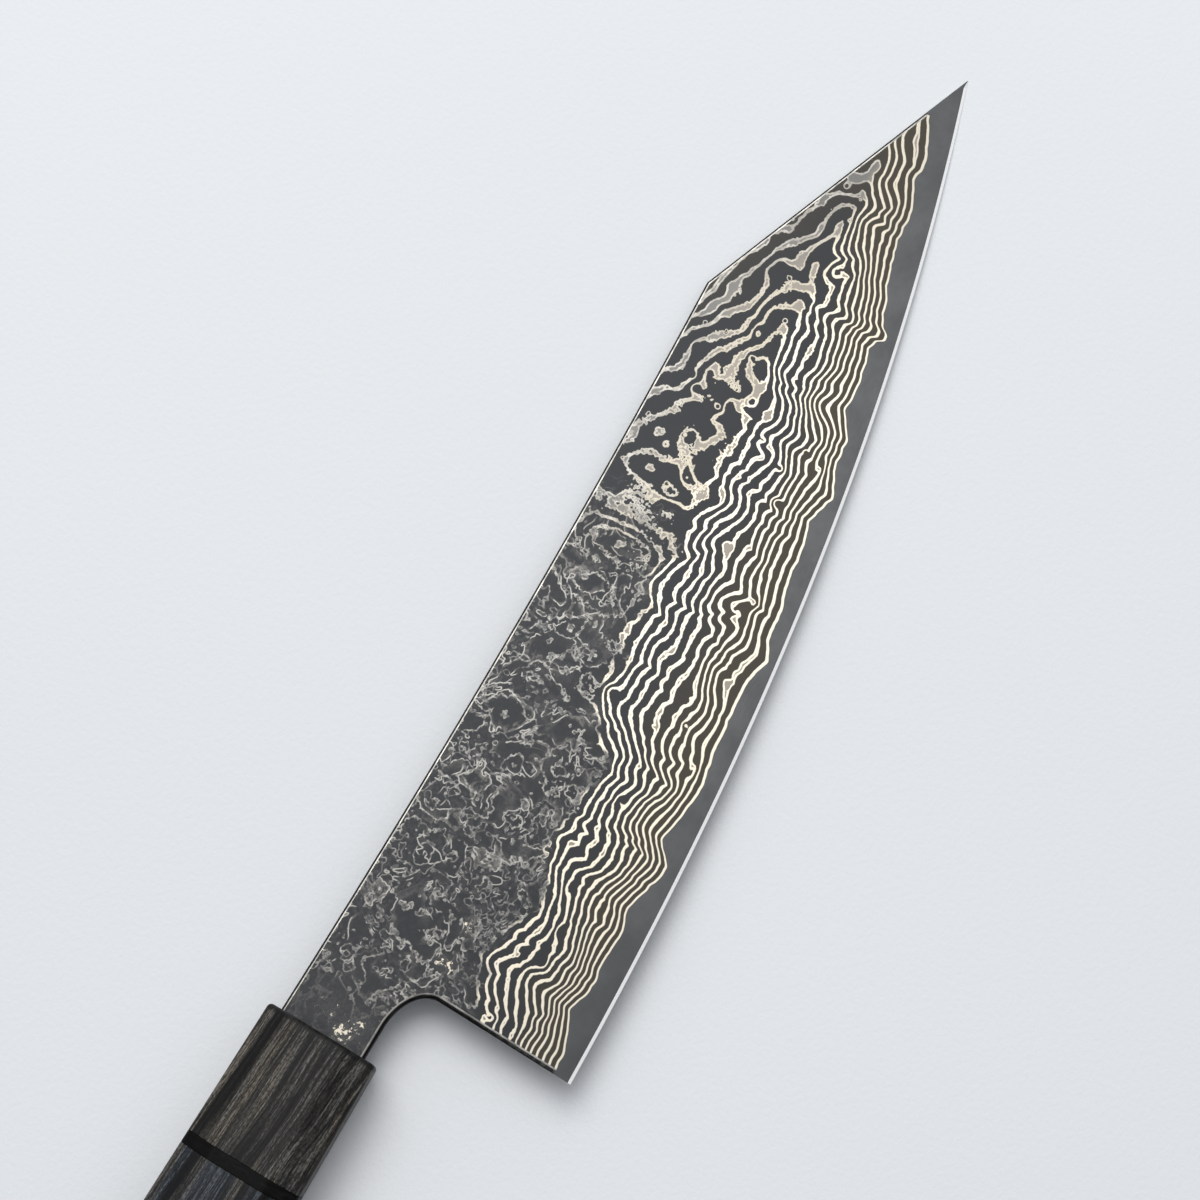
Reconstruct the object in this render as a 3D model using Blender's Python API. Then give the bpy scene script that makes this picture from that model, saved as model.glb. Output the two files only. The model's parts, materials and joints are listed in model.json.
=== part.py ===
"""A gyuto kitchen knife with a clipped tip and an octagonal wooden handle, lying on its side.

Sizes are in metres. The knife is drawn along its own axes: X runs from the handle to the tip, with 0 at
the front of the ferrule, Y runs from the cutting edge to the spine, with 0 on the handle's axis, and Z
is across the thickness. Last, the whole knife is laid down so that the front of the handle and the tip
of the blade both touch the plane Z = 0.
"""

import math

import bmesh
import bpy
import numpy as np
from mathutils import Matrix, Vector

# Blade outline
BLADE_LENGTH = 0.210  # from the heel to the tip, along the handle's axis
NECK_LENGTH = 0.0148  # from the ferrule to the heel
HEEL_DEPTH = 0.0421  # from the handle's axis down to the heel
TIP_DEPTH = 0.0108  # from the handle's axis down to the tip
NECK_ABOVE = 0.0089  # from the handle's axis up to the spine, at the ferrule
NECK_BELOW = 0.0085  # from the handle's axis down to the underside of the neck
SPINE_RISE = 0.0036  # what the spine climbs from the ferrule to its corner
SPINE_HOLLOW = 0.0014  # how far the spine dips below a straight line
CLIP_LENGTH = 0.0652  # the straight clipped part from the spine's corner to the tip, along the axis
EDGE_REAR_RISE = 0.0010  # height over the heel of the edge curve's handle at a third of the length
EDGE_FRONT_RISE = 0.0096  # the same at two thirds of the length
CHOIL_ALONG = 0.0089  # radius of the rounded corner behind the heel, along the neck
CHOIL_DOWN = 0.0060  # radius of the same corner, down the back of the heel
HEEL_LEAN = 0.0005  # how far the back of the heel leans forward at its top

# Blade section
NECK_THICKNESS = 0.0024
FRONT_THICKNESS = 0.0012  # what the spine would thin to at the tip if it weren't clipped
EDGE_THICKNESS = 0.0003  # just above the small sharpened bevel
BEVEL_WIDTH = 0.0006  # the sharpened bevel, seen from the side
GRIND_CURVE = 0.85  # under 1 the ground faces bulge a little
NECK_BLEND = 0.026  # distance over which the flat neck turns into the ground wedge
EASED_EDGE = 0.0005  # rounding of the spine, the choil and the back of the heel
CORE_SHOWS = 0.0045  # average height of bare core steel above the edge
CORE_WAVE = 0.0009  # how far that line rises and falls
CORE_WAVE_LENGTH = 0.031
CLADDING_LIP = 0.00005  # thickness that the cladding keeps where it ends
WELD_LINE = 0.00002  # clearance between the welded layers

# Tang
TANG_LENGTH = 0.092  # from the front of the ferrule to the end of the tang
TANG_HEIGHT = 0.0104  # just behind the shoulders
TANG_END_HEIGHT = 0.0062
SHOULDER_RUN = 0.0012  # length of the slanted shoulders
TANG_END_CHAMFER = 0.0015

# Handle
FERRULE_LENGTH = 0.0255
SPACER_THICKNESS = 0.0024
BODY_LENGTH = 0.1145
FRONT_HEIGHT = 0.0219  # across the octagon in the blade's own plane, at the front
FRONT_WIDTH = 0.0179  # through the octagon from one blade side to the other, at the front
BUTT_HEIGHT = 0.0258
BUTT_WIDTH = 0.0208
CHAMFER_HEIGHT = 0.0057  # the octagon's slanted sides, measured along Y
CHAMFER_WIDTH = 0.0039  # the same, measured along Z
FACET_EASE = 0.0003  # the octagon's corners are broken by this much
FRONT_ROUND = 0.0008  # rounding around the ferrule's front face
BUTT_ROUND = 0.0012
MOUTH_DEPTH = 0.0042  # the slot that takes the neck
MOUTH_FILM = 0.0005  # seal all round the neck
SEAL_RECESS = 0.0002
DOWEL_MARGIN = 0.0011  # dowel beyond the tang, above and below it
DOWEL_BRIDGE = 0.008  # solid end that holds the slotted dowel's two halves together
GLUE_FILM = 0.0005  # adhesive between the tang and the slot's sides
FIT = 0.00005  # clearance between glued pieces

HEEL_X = NECK_LENGTH
TIP_X = HEEL_X + BLADE_LENGTH
CORNER_X = TIP_X - CLIP_LENGTH
CORNER_Y = NECK_ABOVE + SPINE_RISE
CHOIL_START_X = HEEL_X + HEEL_LEAN - CHOIL_ALONG
CHOIL_END_Y = -NECK_BELOW - CHOIL_DOWN
HANDLE_LENGTH = FERRULE_LENGTH + SPACER_THICKNESS + BODY_LENGTH
DOWEL_RADIUS = TANG_HEIGHT / 2 + DOWEL_MARGIN
SLOT_END_X = -TANG_LENGTH - GLUE_FILM
DOWEL_END_X = SLOT_END_X - DOWEL_BRIDGE
STILL = 1e-9  # lengths under this count as none

# How finely the shapes are drawn
CHOIL_STEPS = 8
HEEL_STEPS = 6
EDGE_STEPS = 44  # from the heel to the spine's corner
CLIP_STEPS = 16
POINT_STEPS = 5  # where only the core is left, at the tip
LAYER_ROWS = 4  # across a layer, from its border to the spine
ROUND_STEPS = 3
ROD_SIDES = 48
HALVINGS = 50  # of each search for where two lines meet
TOP_LEAD = 0.013  # the pairs of points that span the blade reach this far ahead of the heel at the top
CORNER_LAG = 0.006  # and start this far behind the spine's corner at the edge
SPLIT_LAG = 0.001
EASE_POINT = 0.3  # a quarter round is drawn through one point, at this share of its radius
EASE_DROP = 1 - math.sqrt(1 - (1 - EASE_POINT) ** 2)
MOST_EASE = 0.6  # of a layer's thickness


def between(low, high, share):
    return low + (high - low) * share


def smooth_step(share):
    share = min(max(share, 0.0), 1.0)
    return share * share * (3 - 2 * share)


def steps(low, high, count):
    """The numbers after low, up to and with high, in equal steps."""
    return [between(low, high, k / count) for k in range(1, count + 1)]


# The blade's lines, each as Y for a given X


def edge_y(x):
    """The cutting edge: a cubic curve whose four control points are evenly spaced along the blade."""
    t = (x - HEEL_X) / BLADE_LENGTH
    rise = 3 * t * (1 - t) ** 2 * EDGE_REAR_RISE + 3 * t * t * (1 - t) * EDGE_FRONT_RISE
    return -HEEL_DEPTH + rise + t**3 * (HEEL_DEPTH - TIP_DEPTH)


def spine_y(x):
    """The spine, and the line that it would follow past its corner: a shallow hollow."""
    t = x / CORNER_X
    return NECK_ABOVE + SPINE_RISE * t - 4 * SPINE_HOLLOW * t * (1 - t)


def clip_y(x):
    return between(CORNER_Y, -TIP_DEPTH, (x - CORNER_X) / CLIP_LENGTH)


def upper_y(x):
    return spine_y(x) if x <= CORNER_X else clip_y(x)


def border_y(x):
    """Where the cladding ends and the core steel shows."""
    x = max(x, HEEL_X)
    turns = (x - HEEL_X) / CORE_WAVE_LENGTH * 2 * math.pi
    wave = math.sin(turns) + 0.45 * math.sin(1.7 * turns + 1.0)
    return edge_y(x) + CORE_SHOWS + CORE_WAVE * wave


def meeting_x():
    """Where the cladding's border runs out at the clipped part of the spine."""
    low, high = CORNER_X, TIP_X
    for _ in range(HALVINGS):
        middle = (low + high) / 2
        if border_y(middle) < clip_y(middle):
            low = middle
        else:
            high = middle
    return low


# The blade's section, as half its thickness


def spine_half(x):
    along = min(max(x / TIP_X, 0.0), 1.0)
    return between(NECK_THICKNESS, FRONT_THICKNESS, along) / 2


def blade_half(x, y):
    """Half the thickness at a point: flat near the neck, a slightly bulging wedge elsewhere."""
    spine = spine_half(x)
    low = edge_y(max(x, HEEL_X))
    up = min(max((y - low) / (spine_y(x) - low), 0.0), 1.0)
    wedge = between(EDGE_THICKNESS / 2, spine, up**GRIND_CURVE)
    away = math.hypot(max(x, 0.0), max(-NECK_BELOW - y, 0.0)) / NECK_BLEND
    return between(spine, wedge, smooth_step(away))


def core_half(x):
    """Half the core's thickness under the cladding, which follows from where the core shows."""
    x = max(x, HEEL_X)
    return blade_half(x, border_y(x)) - CLADDING_LIP


# Meshes


def material(name, color, roughness, metallic=0.0):
    found = bpy.data.materials.new(name)
    found.use_nodes = True
    shader = found.node_tree.nodes["Principled BSDF"]
    shader.inputs["Base Color"].default_value = (*color, 1)
    shader.inputs["Roughness"].default_value = roughness
    shader.inputs["Metallic"].default_value = metallic
    found.diffuse_color = (*color, 1)
    return found


def mesh_object(name, mesh, surface=None):
    piece = bpy.data.objects.new(name, mesh)
    bpy.context.collection.objects.link(piece)
    if surface:
        mesh.materials.append(surface)
    return piece


def closed_mesh(name, points, faces):
    """A mesh from points and faces that may repeat points: equal points become one, thin faces go."""
    kept, index = {}, []
    for point in points:
        key = tuple(round(v / STILL) for v in point)
        index.append(kept.setdefault(key, (len(kept), point))[0])
    shape = bmesh.new()
    verts = [shape.verts.new(point) for _, point in kept.values()]
    for face in faces:
        corners = [index[k] for k in face]
        ring = [c for k, c in enumerate(corners) if c != corners[k - 1]]
        if len(set(ring)) >= 3 and len(set(ring)) == len(ring):
            shape.faces.new([verts[c] for c in ring])
    bmesh.ops.recalc_face_normals(shape, faces=shape.faces)
    if shape.calc_volume(signed=True) < 0:
        bmesh.ops.reverse_faces(shape, faces=shape.faces)
    mesh = bpy.data.meshes.new(name)
    shape.to_mesh(mesh)
    shape.free()
    return mesh


def slab(name, plan, low, high):
    """A closed sheet over plan, a grid of (x, y), between the heights low and high at each point."""
    columns, rows = len(plan), len(plan[0])
    points = [(*plan[i][j], low[i][j]) for i in range(columns) for j in range(rows)]
    points += [(*plan[i][j], high[i][j]) for i in range(columns) for j in range(rows)]
    above = columns * rows
    faces = []
    for i in range(columns - 1):
        for j in range(rows - 1):
            a, b = i * rows + j, (i + 1) * rows + j
            faces.append((a, a + 1, b + 1, b))
            faces.append((above + a, above + b, above + b + 1, above + a + 1))
    border = [i * rows for i in range(columns)]
    border += [(columns - 1) * rows + j for j in range(1, rows)]
    border += [i * rows + rows - 1 for i in range(columns - 2, -1, -1)]
    border += [j for j in range(rows - 2, 0, -1)]
    for k, here in enumerate(border):
        after = border[(k + 1) % len(border)]
        faces.append((here, after, above + after, above + here))
    return closed_mesh(name, points, faces)


# The blade's three layers


def tang_rulings(grow=0.0):
    """Pairs of points, underside and top, from the end of the tang to its shoulders."""
    end = TANG_END_HEIGHT / 2
    behind = -MOUTH_DEPTH
    knee_x = -TANG_LENGTH + TANG_END_CHAMFER
    share = (knee_x + TANG_LENGTH) / (behind + TANG_LENGTH)
    knee = between(end, TANG_HEIGHT / 2, share)
    stations = [
        (-TANG_LENGTH - grow, end - TANG_END_CHAMFER / 2 + grow),
        (knee_x, knee + grow),
        (behind, TANG_HEIGHT / 2 + grow),
    ]
    return [((x, -half), (x, half)) for x, half in stations]


def blade_rulings(low_line, end_x):
    """Pairs of points, on the lower line and on the top line, from the tang to where they meet.

    low_line is the edge for the core and the border for the cladding, and end_x is where it meets the
    clipped part. The pairs fan out over the choil and the heel, so that they never cross.
    """
    top_at_heel = HEEL_X + TOP_LEAD
    low_at_corner = CORNER_X - CORNER_LAG
    pairs = tang_rulings()
    for x in (-MOUTH_DEPTH + SHOULDER_RUN, 0.0, CHOIL_START_X):
        pairs.append(((x, -NECK_BELOW), (x, upper_y(x))))
    turns = steps(0.0, math.pi / 2, CHOIL_STEPS)
    drops = steps(CHOIL_END_Y, low_line(HEEL_X), HEEL_STEPS)
    tops = steps(CHOIL_START_X, top_at_heel, len(turns) + len(drops))
    lower = []
    for angle in turns:
        x = CHOIL_START_X + CHOIL_ALONG * math.sin(angle)
        lower.append((x, CHOIL_END_Y + CHOIL_DOWN * math.cos(angle)))
    for y in drops:
        share = (y + HEEL_DEPTH) / (CHOIL_END_Y + HEEL_DEPTH)
        lower.append((HEEL_X + HEEL_LEAN * share, y))
    pairs += [(low, (top, upper_y(top))) for low, top in zip(lower, tops)]
    start_x = lower[-1][0]
    stretches = [(start_x, low_at_corner, top_at_heel, CORNER_X, EDGE_STEPS)]
    split_x = min(meeting_x(), end_x)
    low_at_split = end_x if end_x <= split_x else split_x - SPLIT_LAG
    stretches.append((low_at_corner, low_at_split, CORNER_X, split_x, CLIP_STEPS))
    if end_x > split_x:
        stretches.append((low_at_split, end_x, split_x, end_x, POINT_STEPS))
    for low_from, low_to, top_from, top_to, count in stretches:
        lows = steps(low_from, low_to, count)
        for low, top in zip(lows, steps(top_from, top_to, count)):
            pairs.append(((low, low_line(low)), (top, upper_y(top))))
    return pairs


def along(pair, share):
    return tuple(between(pair[0][k], pair[1][k], share) for k in (0, 1))


def border_share(pair):
    """How far up a ruling the cladding's border lies, from 0 to 1."""
    low, high = 0.0, 1.0
    if pair[0][1] >= border_y(pair[0][0]) or pair[0][0] < HEEL_X - STILL:
        return 0.0
    if pair[1][1] <= border_y(pair[1][0]) + STILL:
        return 1.0
    for _ in range(HALVINGS):
        middle = (low + high) / 2
        x, y = along(pair, middle)
        if y < border_y(x):
            low = middle
        else:
            high = middle
    return low


def core_mesh():
    """The hard core with its tang: flat under the cladding, and ground to the edge below it."""
    plan, heights = [], []
    crossing = meeting_x()
    for pair in blade_rulings(edge_y, TIP_X):
        length = max(math.dist(*pair), STILL)
        on_edge = abs(pair[0][1] - edge_y(pair[0][0])) < STILL and pair[0][0] >= HEEL_X - STILL
        border = border_share(pair)
        past_border = pair[1][0] > crossing + STILL
        below = max(border - 2 * CLADDING_LIP / length, 0.0)
        bevel = min(BEVEL_WIDTH / length, below) if border else 0.0
        shares = [0.0, bevel, between(bevel, below, 0.5), below, border]
        shares += steps(border, 1.0, LAYER_ROWS)
        places = [along(pair, share) for share in shares]
        bare = [row < 4 and border > 0 or past_border for row in range(len(shares))]
        column = [blade_half(*p) if out else core_half(p[0]) for p, out in zip(places, bare)]
        if on_edge:
            column[0] = 0.0
        if length < 10 * STILL:
            column = [0.0] * len(column)
        plan.append(places)
        heights.append(column)
    low = [[-h for h in column] for column in heights]
    return slab("core_steel", plan, low, heights)


def cladding_mesh(name, side):
    """One soft layer: its outer face is the ground blade face, and its inner face lies on the core."""
    end_x = meeting_x() - 2 * CLADDING_LIP
    plan, inner, outer = [], [], []
    for pair in blade_rulings(lambda x: border_y(x) + CLADDING_LIP, end_x):
        length = math.dist(*pair)
        on_border = abs(pair[0][1] - border_y(pair[0][0])) < 2 * CLADDING_LIP
        ease = min(EASED_EDGE, length / 4) / length if length > STILL else 0.0
        shares = [0.0, EASE_POINT * ease, ease] + steps(ease, 1 - ease, LAYER_ROWS)
        shares += [1 - EASE_POINT * ease, 1.0]
        drops = [1.0, EASE_DROP] + [0.0] * (LAYER_ROWS + 1) + [EASE_DROP, 1.0]
        if on_border:
            drops[:2] = [0.0, 0.0]
        column_in, column_out = [], []
        places = [along(pair, share) for share in shares]
        for (x, y), drop in zip(places, drops):
            inside = core_half(x) + WELD_LINE
            outside = blade_half(x, y)
            rounding = min(EASED_EDGE, MOST_EASE * (outside - inside))
            column_in.append(inside)
            column_out.append(outside - drop * rounding)
        plan.append(places)
        inner.append(column_in)
        outer.append(column_out)
    if side < 0:
        inner, outer = [[[-h for h in column] for column in grid] for grid in (outer, inner)]
    return slab(name, plan, inner, outer)


# The handle


def octagon(x, inset):
    """The handle's cross-section at x, drawn in by inset, with its corners broken."""
    share = -x / HANDLE_LENGTH
    half_y = between(FRONT_HEIGHT, BUTT_HEIGHT, share) / 2
    half_z = between(FRONT_WIDTH, BUTT_WIDTH, share) / 2
    corners = [
        (half_y, half_z - CHAMFER_WIDTH),
        (half_y - CHAMFER_HEIGHT, half_z),
        (-half_y + CHAMFER_HEIGHT, half_z),
        (-half_y, half_z - CHAMFER_WIDTH),
    ]
    corners += [(-y, -z) for y, z in corners]
    shrink = Vector((1 - inset / half_y, 1 - inset / half_z))
    ring = []
    for k, corner in enumerate(corners):
        here = Vector(corner)
        for other in (corners[k - 1], corners[(k + 1) % len(corners)]):
            toward = Vector(other) - here
            y, z = here + toward.normalized() * min(FACET_EASE, toward.length / 3)
            ring.append((x, y * shrink[0], z * shrink[1]))
    return ring


def rounded_end(x, radius, backward):
    """Places and insets of the rings that round an end face, from the face inward."""
    turns = [0.0] + steps(0.0, math.pi / 2, ROUND_STEPS)
    return [(x + backward * radius * (1 - math.cos(a)), radius * (1 - math.sin(a))) for a in turns]


def loft(name, rings):
    points = [point for ring in rings for point in ring]
    count = len(rings[0])
    faces = [tuple(range(count)), tuple(range(len(points) - count, len(points)))]
    for start in range(0, len(points) - count, count):
        for k in range(count):
            after = (k + 1) % count
            faces.append((start + k, start + after, start + count + after, start + count + k))
    return closed_mesh(name, points, faces)


def rod_mesh(name, from_x, to_x, radius):
    rings = []
    for x in (from_x, to_x):
        turns = [2 * math.pi * k / ROD_SIDES for k in range(ROD_SIDES)]
        rings.append([(x, radius * math.cos(a), radius * math.sin(a)) for a in turns])
    return loft(name, rings)


def box_mesh(name, low, high):
    section = [(low[1], low[2]), (high[1], low[2]), (high[1], high[2]), (low[1], high[2])]
    return loft(name, [[(x, y, z) for y, z in section] for x in (low[0], high[0])])


def cut(piece, tool_mesh, operation="DIFFERENCE"):
    """Cuts piece with a mesh that stays in the file as a hidden helper."""
    tool = mesh_object(tool_mesh.name, tool_mesh)
    tool.hide_render = True
    tool.display_type = "WIRE"
    change = piece.modifiers.new(tool_mesh.name, "BOOLEAN")
    change.object = tool
    change.operation = operation
    change.solver = "EXACT"
    return tool


def soften(piece, degrees=25):
    piece.data.shade_smooth()
    piece.data.set_sharp_from_angle(angle=math.radians(degrees))


def make_blade(colors):
    core = mesh_object("core_steel", core_mesh(), colors["core"])
    right = mesh_object("cladding_right", cladding_mesh("cladding_right", 1), colors["cladding"])
    left = mesh_object("cladding_left", cladding_mesh("cladding_left", -1), colors["cladding"])
    return [core, right, left]


def make_ferrule(colors):
    """The laminated front block: a slot takes the neck, and a bore behind it takes the dowel."""
    rings = [octagon(x, inset) for x, inset in rounded_end(0.0, FRONT_ROUND, -1)]
    rings.append(octagon(-FERRULE_LENGTH, 0.0))
    piece = mesh_object("ferrule", loft("ferrule", rings), colors["ferrule"])
    low = (-MOUTH_DEPTH - FIT, -NECK_BELOW - MOUTH_FILM, -NECK_THICKNESS / 2 - MOUTH_FILM)
    high = (FRONT_ROUND, NECK_ABOVE + MOUTH_FILM, NECK_THICKNESS / 2 + MOUTH_FILM)
    tools = [cut(piece, box_mesh("ferrule_mouth_tool", low, high))]
    bore_end = -FERRULE_LENGTH - FRONT_ROUND
    bore = rod_mesh("ferrule_bore_tool", bore_end, -MOUTH_DEPTH, DOWEL_RADIUS + FIT)
    tools.append(cut(piece, bore))
    return [piece] + tools


def make_spacer(colors):
    """The thin black ring between the ferrule and the body."""
    front = -FERRULE_LENGTH - FIT
    back = -FERRULE_LENGTH - SPACER_THICKNESS
    rings = [octagon(x, 0.0) for x in (front, back)]
    piece = mesh_object("spacer_ring", loft("spacer_ring", rings), colors["spacer"])
    past = SPACER_THICKNESS
    bore = rod_mesh("spacer_bore_tool", back - past, front + past, DOWEL_RADIUS + FIT)
    return [piece, cut(piece, bore)]


def make_body(colors):
    """The long laminated grip, with a blind bore for the dowel."""
    front = -FERRULE_LENGTH - SPACER_THICKNESS - FIT
    rings = [octagon(front, 0.0)]
    butt = rounded_end(-HANDLE_LENGTH, BUTT_ROUND, 1)
    rings += [octagon(x, inset) for x, inset in reversed(butt)]
    piece = mesh_object("handle_body", loft("handle_body", rings), colors["body"])
    past = SPACER_THICKNESS
    bore = rod_mesh("body_bore_tool", DOWEL_END_X - FIT, front + past, DOWEL_RADIUS + FIT)
    return [piece, cut(piece, bore)]


def make_dowel(colors):
    """The round pin that joins ferrule, spacer and body, slotted from the front for the tang."""
    front = -MOUTH_DEPTH - 2 * FIT
    rod = rod_mesh("dowel", DOWEL_END_X, front, DOWEL_RADIUS)
    piece = mesh_object("dowel", rod, colors["dowel"])
    reach = 2 * DOWEL_RADIUS
    slot_half = NECK_THICKNESS / 2 + GLUE_FILM
    low, high = (SLOT_END_X - FIT, -reach, -slot_half), (front + reach, reach, slot_half)
    return [piece, cut(piece, box_mesh("dowel_slot_tool", low, high))]


def make_adhesive(colors):
    """Hardened adhesive that fills the dowel's slot around the tang."""
    front = -MOUTH_DEPTH - 2 * FIT
    rod = rod_mesh("tang_adhesive", SLOT_END_X, front, DOWEL_RADIUS - FIT)
    piece = mesh_object("tang_adhesive", rod, colors["adhesive"])
    reach = 2 * DOWEL_RADIUS
    fill_half = NECK_THICKNESS / 2 + GLUE_FILM - FIT
    low, high = (SLOT_END_X - reach, -reach, -fill_half), (front + reach, reach, fill_half)
    slice_tool = cut(piece, box_mesh("adhesive_slice_tool", low, high), "INTERSECT")
    pairs = tang_rulings(FIT)
    ahead = -MOUTH_DEPTH + reach
    last = pairs[-1][1][1]
    pairs.append(((ahead, -last), (ahead, last)))
    plan = [[pair[0], pair[1]] for pair in pairs]
    half = NECK_THICKNESS / 2 + FIT
    low_grid = [[-half, -half] for _ in plan]
    high_grid = [[half, half] for _ in plan]
    tang_tool = cut(piece, slab("adhesive_tang_tool", plan, low_grid, high_grid))
    return [piece, slice_tool, tang_tool]


def make_seal(colors):
    """The black filler that closes the slot around the neck at the front face."""
    back = -MOUTH_DEPTH + SHOULDER_RUN
    film = MOUTH_FILM - FIT
    half = NECK_THICKNESS / 2
    low = (back, -NECK_BELOW - film, -half - film)
    high = (-SEAL_RECESS, NECK_ABOVE + film, half + film)
    piece = mesh_object("mouth_seal", box_mesh("mouth_seal", low, high), colors["seal"])
    top = max(upper_y(back), upper_y(0.0), NECK_ABOVE) + FIT
    low = (back - SHOULDER_RUN, -NECK_BELOW - FIT, -half - FIT)
    high = (SHOULDER_RUN, top, half + FIT)
    return [piece, cut(piece, box_mesh("seal_neck_tool", low, high))]


# Laying the knife down


def shown_points(pieces):
    graph = bpy.context.evaluated_depsgraph_get()
    found = []
    for piece in pieces:
        mesh = piece.evaluated_get(graph).to_mesh()
        flat = np.empty(len(mesh.vertices) * 3)
        mesh.vertices.foreach_get("co", flat)
        found.append(flat.reshape(-1, 3))
    return np.concatenate(found)


def resting_pitch(points):
    """The turn about Y at which the handle and the blade reach equally low."""
    low, high = 0.0, math.radians(20)
    for _ in range(50):
        pitch = (low + high) / 2
        heights = -math.sin(pitch) * points[:, 0] + math.cos(pitch) * points[:, 2]
        if heights[points[:, 0] > 0].min() > heights[points[:, 0] <= 0].min():
            low = pitch
        else:
            high = pitch
    return (low + high) / 2


def lay_down(pieces):
    """Parents everything to one empty, which turns the knife and centres it over the origin."""
    points = shown_points([piece for piece in pieces if not piece.hide_render])
    turn = Matrix.Rotation(resting_pitch(points), 3, "Y")
    placed = points @ np.array(turn).T
    low, high = placed.min(axis=0), placed.max(axis=0)
    knife = bpy.data.objects.new("knife", None)
    knife.empty_display_size = FERRULE_LENGTH
    bpy.context.collection.objects.link(knife)
    knife.rotation_euler = turn.to_euler()
    knife.location = (-(low[0] + high[0]) / 2, -(low[1] + high[1]) / 2, -low[2])
    for piece in pieces:
        piece.parent = knife


def main():
    for old in list(bpy.data.objects):
        bpy.data.objects.remove(old, do_unlink=True)
    colors = {
        "core": material("core_steel", (0.13, 0.13, 0.135), 0.38, 1.0),
        "cladding": material("layered_cladding", (0.10, 0.10, 0.10), 0.45, 1.0),
        "ferrule": material("laminated_ferrule_wood", (0.085, 0.078, 0.070), 0.5),
        "body": material("laminated_grip_wood", (0.075, 0.078, 0.085), 0.5),
        "spacer": material("black_horn", (0.010, 0.010, 0.011), 0.45),
        "dowel": material("pale_hardwood", (0.55, 0.40, 0.24), 0.7),
        "adhesive": material("clear_amber_adhesive", (0.45, 0.33, 0.15), 0.3),
        "seal": material("black_filler", (0.012, 0.012, 0.012), 0.5),
    }
    pieces = make_blade(colors)
    for make in (make_ferrule, make_spacer, make_body, make_dowel, make_adhesive, make_seal):
        pieces += make(colors)
    for piece in pieces:
        soften(piece)
    bpy.context.view_layer.update()
    lay_down(pieces)


main()
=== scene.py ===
"""A gyuto kitchen knife with a clipped tip, lying on its side: the looks of each piece.

Each piece is drawn along the knife's own axes, in millimetres: X runs from the handle to the tip, with 0
at the front of the ferrule, Y runs from the cutting edge to the spine, with 0 on the handle's axis, and Z
is across the thickness. Each is then laid down as the whole knife lies.
"""

import json
import math

import bmesh
import bpy
import numpy as np
from mathutils import Matrix, Vector
from mathutils.geometry import tessellate_polygon


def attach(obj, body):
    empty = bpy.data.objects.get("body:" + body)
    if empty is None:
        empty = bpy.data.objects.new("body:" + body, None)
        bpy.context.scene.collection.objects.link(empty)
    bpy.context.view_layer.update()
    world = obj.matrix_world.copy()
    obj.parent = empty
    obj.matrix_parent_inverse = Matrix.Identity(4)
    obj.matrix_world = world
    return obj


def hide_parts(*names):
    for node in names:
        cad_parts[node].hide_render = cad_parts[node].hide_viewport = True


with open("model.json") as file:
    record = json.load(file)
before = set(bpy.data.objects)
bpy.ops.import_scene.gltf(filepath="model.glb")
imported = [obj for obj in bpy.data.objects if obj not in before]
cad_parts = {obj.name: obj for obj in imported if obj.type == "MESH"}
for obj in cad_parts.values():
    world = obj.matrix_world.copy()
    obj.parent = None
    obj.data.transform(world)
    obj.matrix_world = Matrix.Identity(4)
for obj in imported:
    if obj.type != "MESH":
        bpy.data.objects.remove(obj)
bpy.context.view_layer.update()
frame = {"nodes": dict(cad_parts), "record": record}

# How the knife lies
# The knife rests on the ferrule's lower front edge and near the tip of the blade, nose down by a little
# over two degrees. The flat butt of the handle says by how much, and where it is.

MM = 0.001
HANDLE_LENGTH = 142.4
butt = next(mount for mount in frame["record"]["mounts"] if mount["name"] == "butt_face")
pitch = math.asin(butt["axis"][2])
turned = Matrix.Rotation(pitch, 4, "Y")
butt_in_place = turned @ Vector((-HANDLE_LENGTH * MM, 0, 0))
knife_place = Matrix.Translation(Vector(butt["pos_m"]) - butt_in_place) @ turned
laid = knife_place @ Matrix.Scale(MM, 4)

# The blade's outline and section
# All three layers of the blade are ground together, so they share one outline: a straight neck, a rounded
# choil, the back of the heel, a curved edge, a slightly hollow spine and the straight clipped tip.

HEEL_X, TIP_X = 14.8, 224.8
CORNER_X, CORNER_Y = 159.6, 12.5
HEEL_DEPTH, TIP_DEPTH = 42.1, 10.8
NECK_ABOVE, NECK_BELOW = 8.9, 8.5
SPINE_RISE, SPINE_HOLLOW = 3.6, 1.4
EDGE_REAR_RISE, EDGE_FRONT_RISE = 1.0, 9.6
CHOIL_X, CHOIL_ALONG, CHOIL_DOWN = 6.4, 8.9, 6.0
CHOIL_END_Y = -NECK_BELOW - CHOIL_DOWN
HEEL_LEAN = 0.5
NECK_THICKNESS, FRONT_THICKNESS, EDGE_THICKNESS = 2.4, 1.2, 0.3
GRIND_CURVE, NECK_BLEND = 0.85, 26.0
LOW_EASE, TOP_EASE = 1.0, 0.6
TANG = ((-92.0, 2.35), (-90.5, 3.17), (-60.0, 3.93), (-30.0, 4.62), (-4.2, 5.2))
SHOULDER_X = -3.0


def mixed(low, high, share):
    return low + (high - low) * share


def eased_step(low, high, value):
    """From 0 at low to 1 at high, with soft ends."""
    share = np.clip((value - low) / (high - low), 0, 1)
    return share * share * (3 - 2 * share)


def edge_y(x):
    t = (x - HEEL_X) / (TIP_X - HEEL_X)
    rise = 3 * t * (1 - t) ** 2 * EDGE_REAR_RISE + 3 * t * t * (1 - t) * EDGE_FRONT_RISE
    return -HEEL_DEPTH + rise + t**3 * (HEEL_DEPTH - TIP_DEPTH)


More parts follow.
